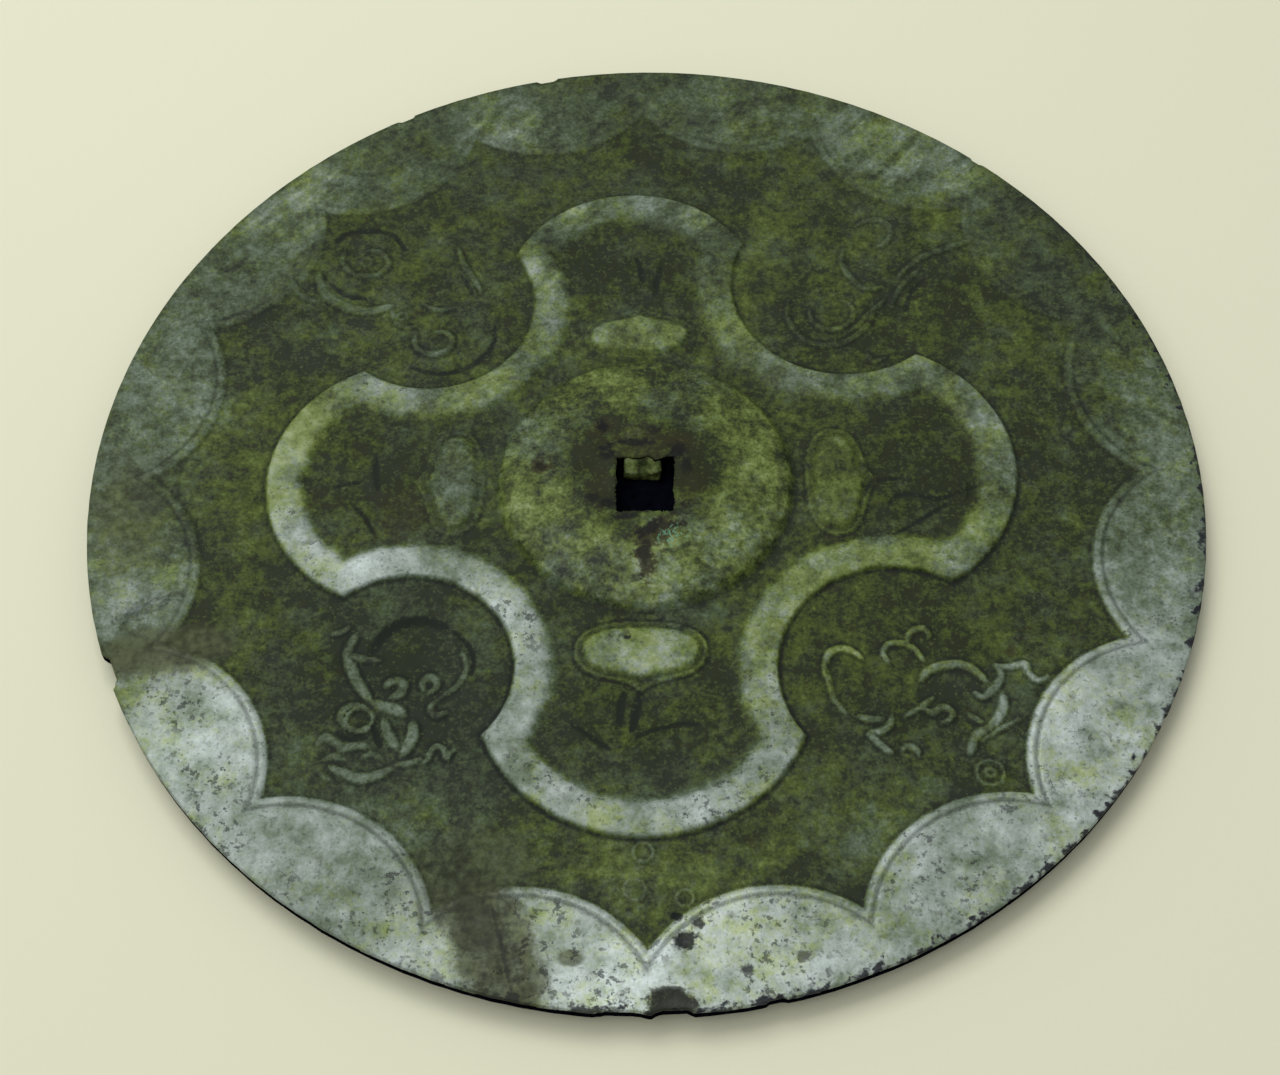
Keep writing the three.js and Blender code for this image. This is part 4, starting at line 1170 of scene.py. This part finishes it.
class BRONZE_MIRROR_OT_stage(bpy.types.Operator):
    """Sets the floor, the lights and the camera"""

    bl_idname = "bronze_mirror.stage"
    bl_label = "Set Stage"

    def execute(self, context):
        settings = context.scene.stage_settings
        mesh = bmesh.new()
        bmesh.ops.create_grid(mesh, x_segments=8, y_segments=8, size=settings.floor_size / 2 / MM)
        # The floor lies a hair below the mirror.
        bmesh.ops.translate(mesh, verts=mesh.verts, vec=(0, 0, -0.05))
        g = Graph("pale_floor")
        relief = g.noise(1.0, 2) * 0.1
        bump = g.node("ShaderNodeBump", {}, {"Strength": 0.3, "Distance": MM, "Height": relief})
        finish = g.finish({"Base Color": settings.floor_colour, "Roughness": 0.9, "Normal": bump})
        floor = piece_from(mesh, "floor", finish)

        world = bpy.data.worlds.new("even_light")
        world.use_nodes = True
        sky = world.node_tree.nodes["Background"]
        sky.inputs["Color"].default_value = (1, 1, 1, 1)
        sky.inputs["Strength"].default_value = settings.sky_strength
        context.scene.world = world
        context.scene.view_settings.view_transform = "Standard"

        add_softbox("key_softbox", (-0.16, 0.28, 0.68), 0.42, settings.key_power)
        add_softbox("fill_softbox", (-0.5, -0.2, 1.0), 0.9, settings.fill_power)
        add_camera(context)
        return {"FINISHED"}


def add_softbox(name, place, size, power):
    """A square area light that faces the mirror's middle."""
    light = bpy.data.lights.new(name, "AREA")
    light.shape = "SQUARE"
    light.size = size
    light.energy = power
    lamp = bpy.data.objects.new(name, light)
    lamp.location = place
    lamp.rotation_euler = Vector(place).to_track_quat("Z", "Y").to_euler()
    bpy.context.scene.collection.objects.link(lamp)


def add_camera(context):
    """The camera that looks down on the mirror from the south, as in the photograph."""
    elevation, azimuth, roll = math.radians(58.191), math.radians(0.7263), math.radians(-1.0365)
    target, distance = Vector((-0.76, -11.2, 4.6)) * MM, 0.2715
    flat = math.cos(elevation)
    back = Vector((math.sin(azimuth) * flat, -math.cos(azimuth) * flat, math.sin(elevation)))
    across = Vector((0, 0, 1)).cross(back).normalized()
    up = back.cross(across)
    turned_across = across * math.cos(roll) + up * math.sin(roll)
    turned_up = up * math.cos(roll) - across * math.sin(roll)
    axes = Matrix((turned_across, turned_up, back)).transposed().to_4x4()
    data = bpy.data.cameras.new("camera")
    data.sensor_width = 36
    data.lens = 54.045
    data.clip_start = 0.01
    camera = bpy.data.objects.new("camera", data)
    camera.matrix_world = Matrix.Translation(target + back * distance) @ axes
    context.scene.collection.objects.link(camera)
    context.scene.camera = camera


class BRONZE_MIRROR_PT_panel(bpy.types.Panel):
    """The sizes, colours and lights, with a button for each part"""

    bl_idname = "BRONZE_MIRROR_PT_panel"
    bl_label = "Bronze Mirror"
    bl_space_type = "VIEW_3D"
    bl_region_type = "UI"
    bl_category = "Mirror"

    def draw(self, context):
        for name, kind in SETTINGS.items():
            box = self.layout.box()
            for value in kind.__annotations__:
                box.prop(getattr(context.scene, name), value)
        for operator in OPERATORS:
            self.layout.operator(operator.bl_idname)


SETTINGS = {"mirror_sizes": MirrorSizes, "patina_colours": PatinaColours, "stage_settings": StageSettings}
OPERATORS = (BRONZE_MIRROR_OT_casting, BRONZE_MIRROR_OT_stub, BRONZE_MIRROR_OT_stage)
CLASSES = (*SETTINGS.values(), *OPERATORS, BRONZE_MIRROR_PT_panel)


def register():
    for cls in CLASSES:
        bpy.utils.register_class(cls)
    for name, kind in SETTINGS.items():
        setattr(bpy.types.Scene, name, PointerProperty(type=kind))


def unregister():
    for name in SETTINGS:
        delattr(bpy.types.Scene, name)
    for cls in reversed(CLASSES):
        bpy.utils.unregister_class(cls)


def main():
    register()
    bpy.ops.bronze_mirror.casting()
    bpy.ops.bronze_mirror.stub()
    bpy.ops.bronze_mirror.stage()


if __name__ == "__main__":
    main()
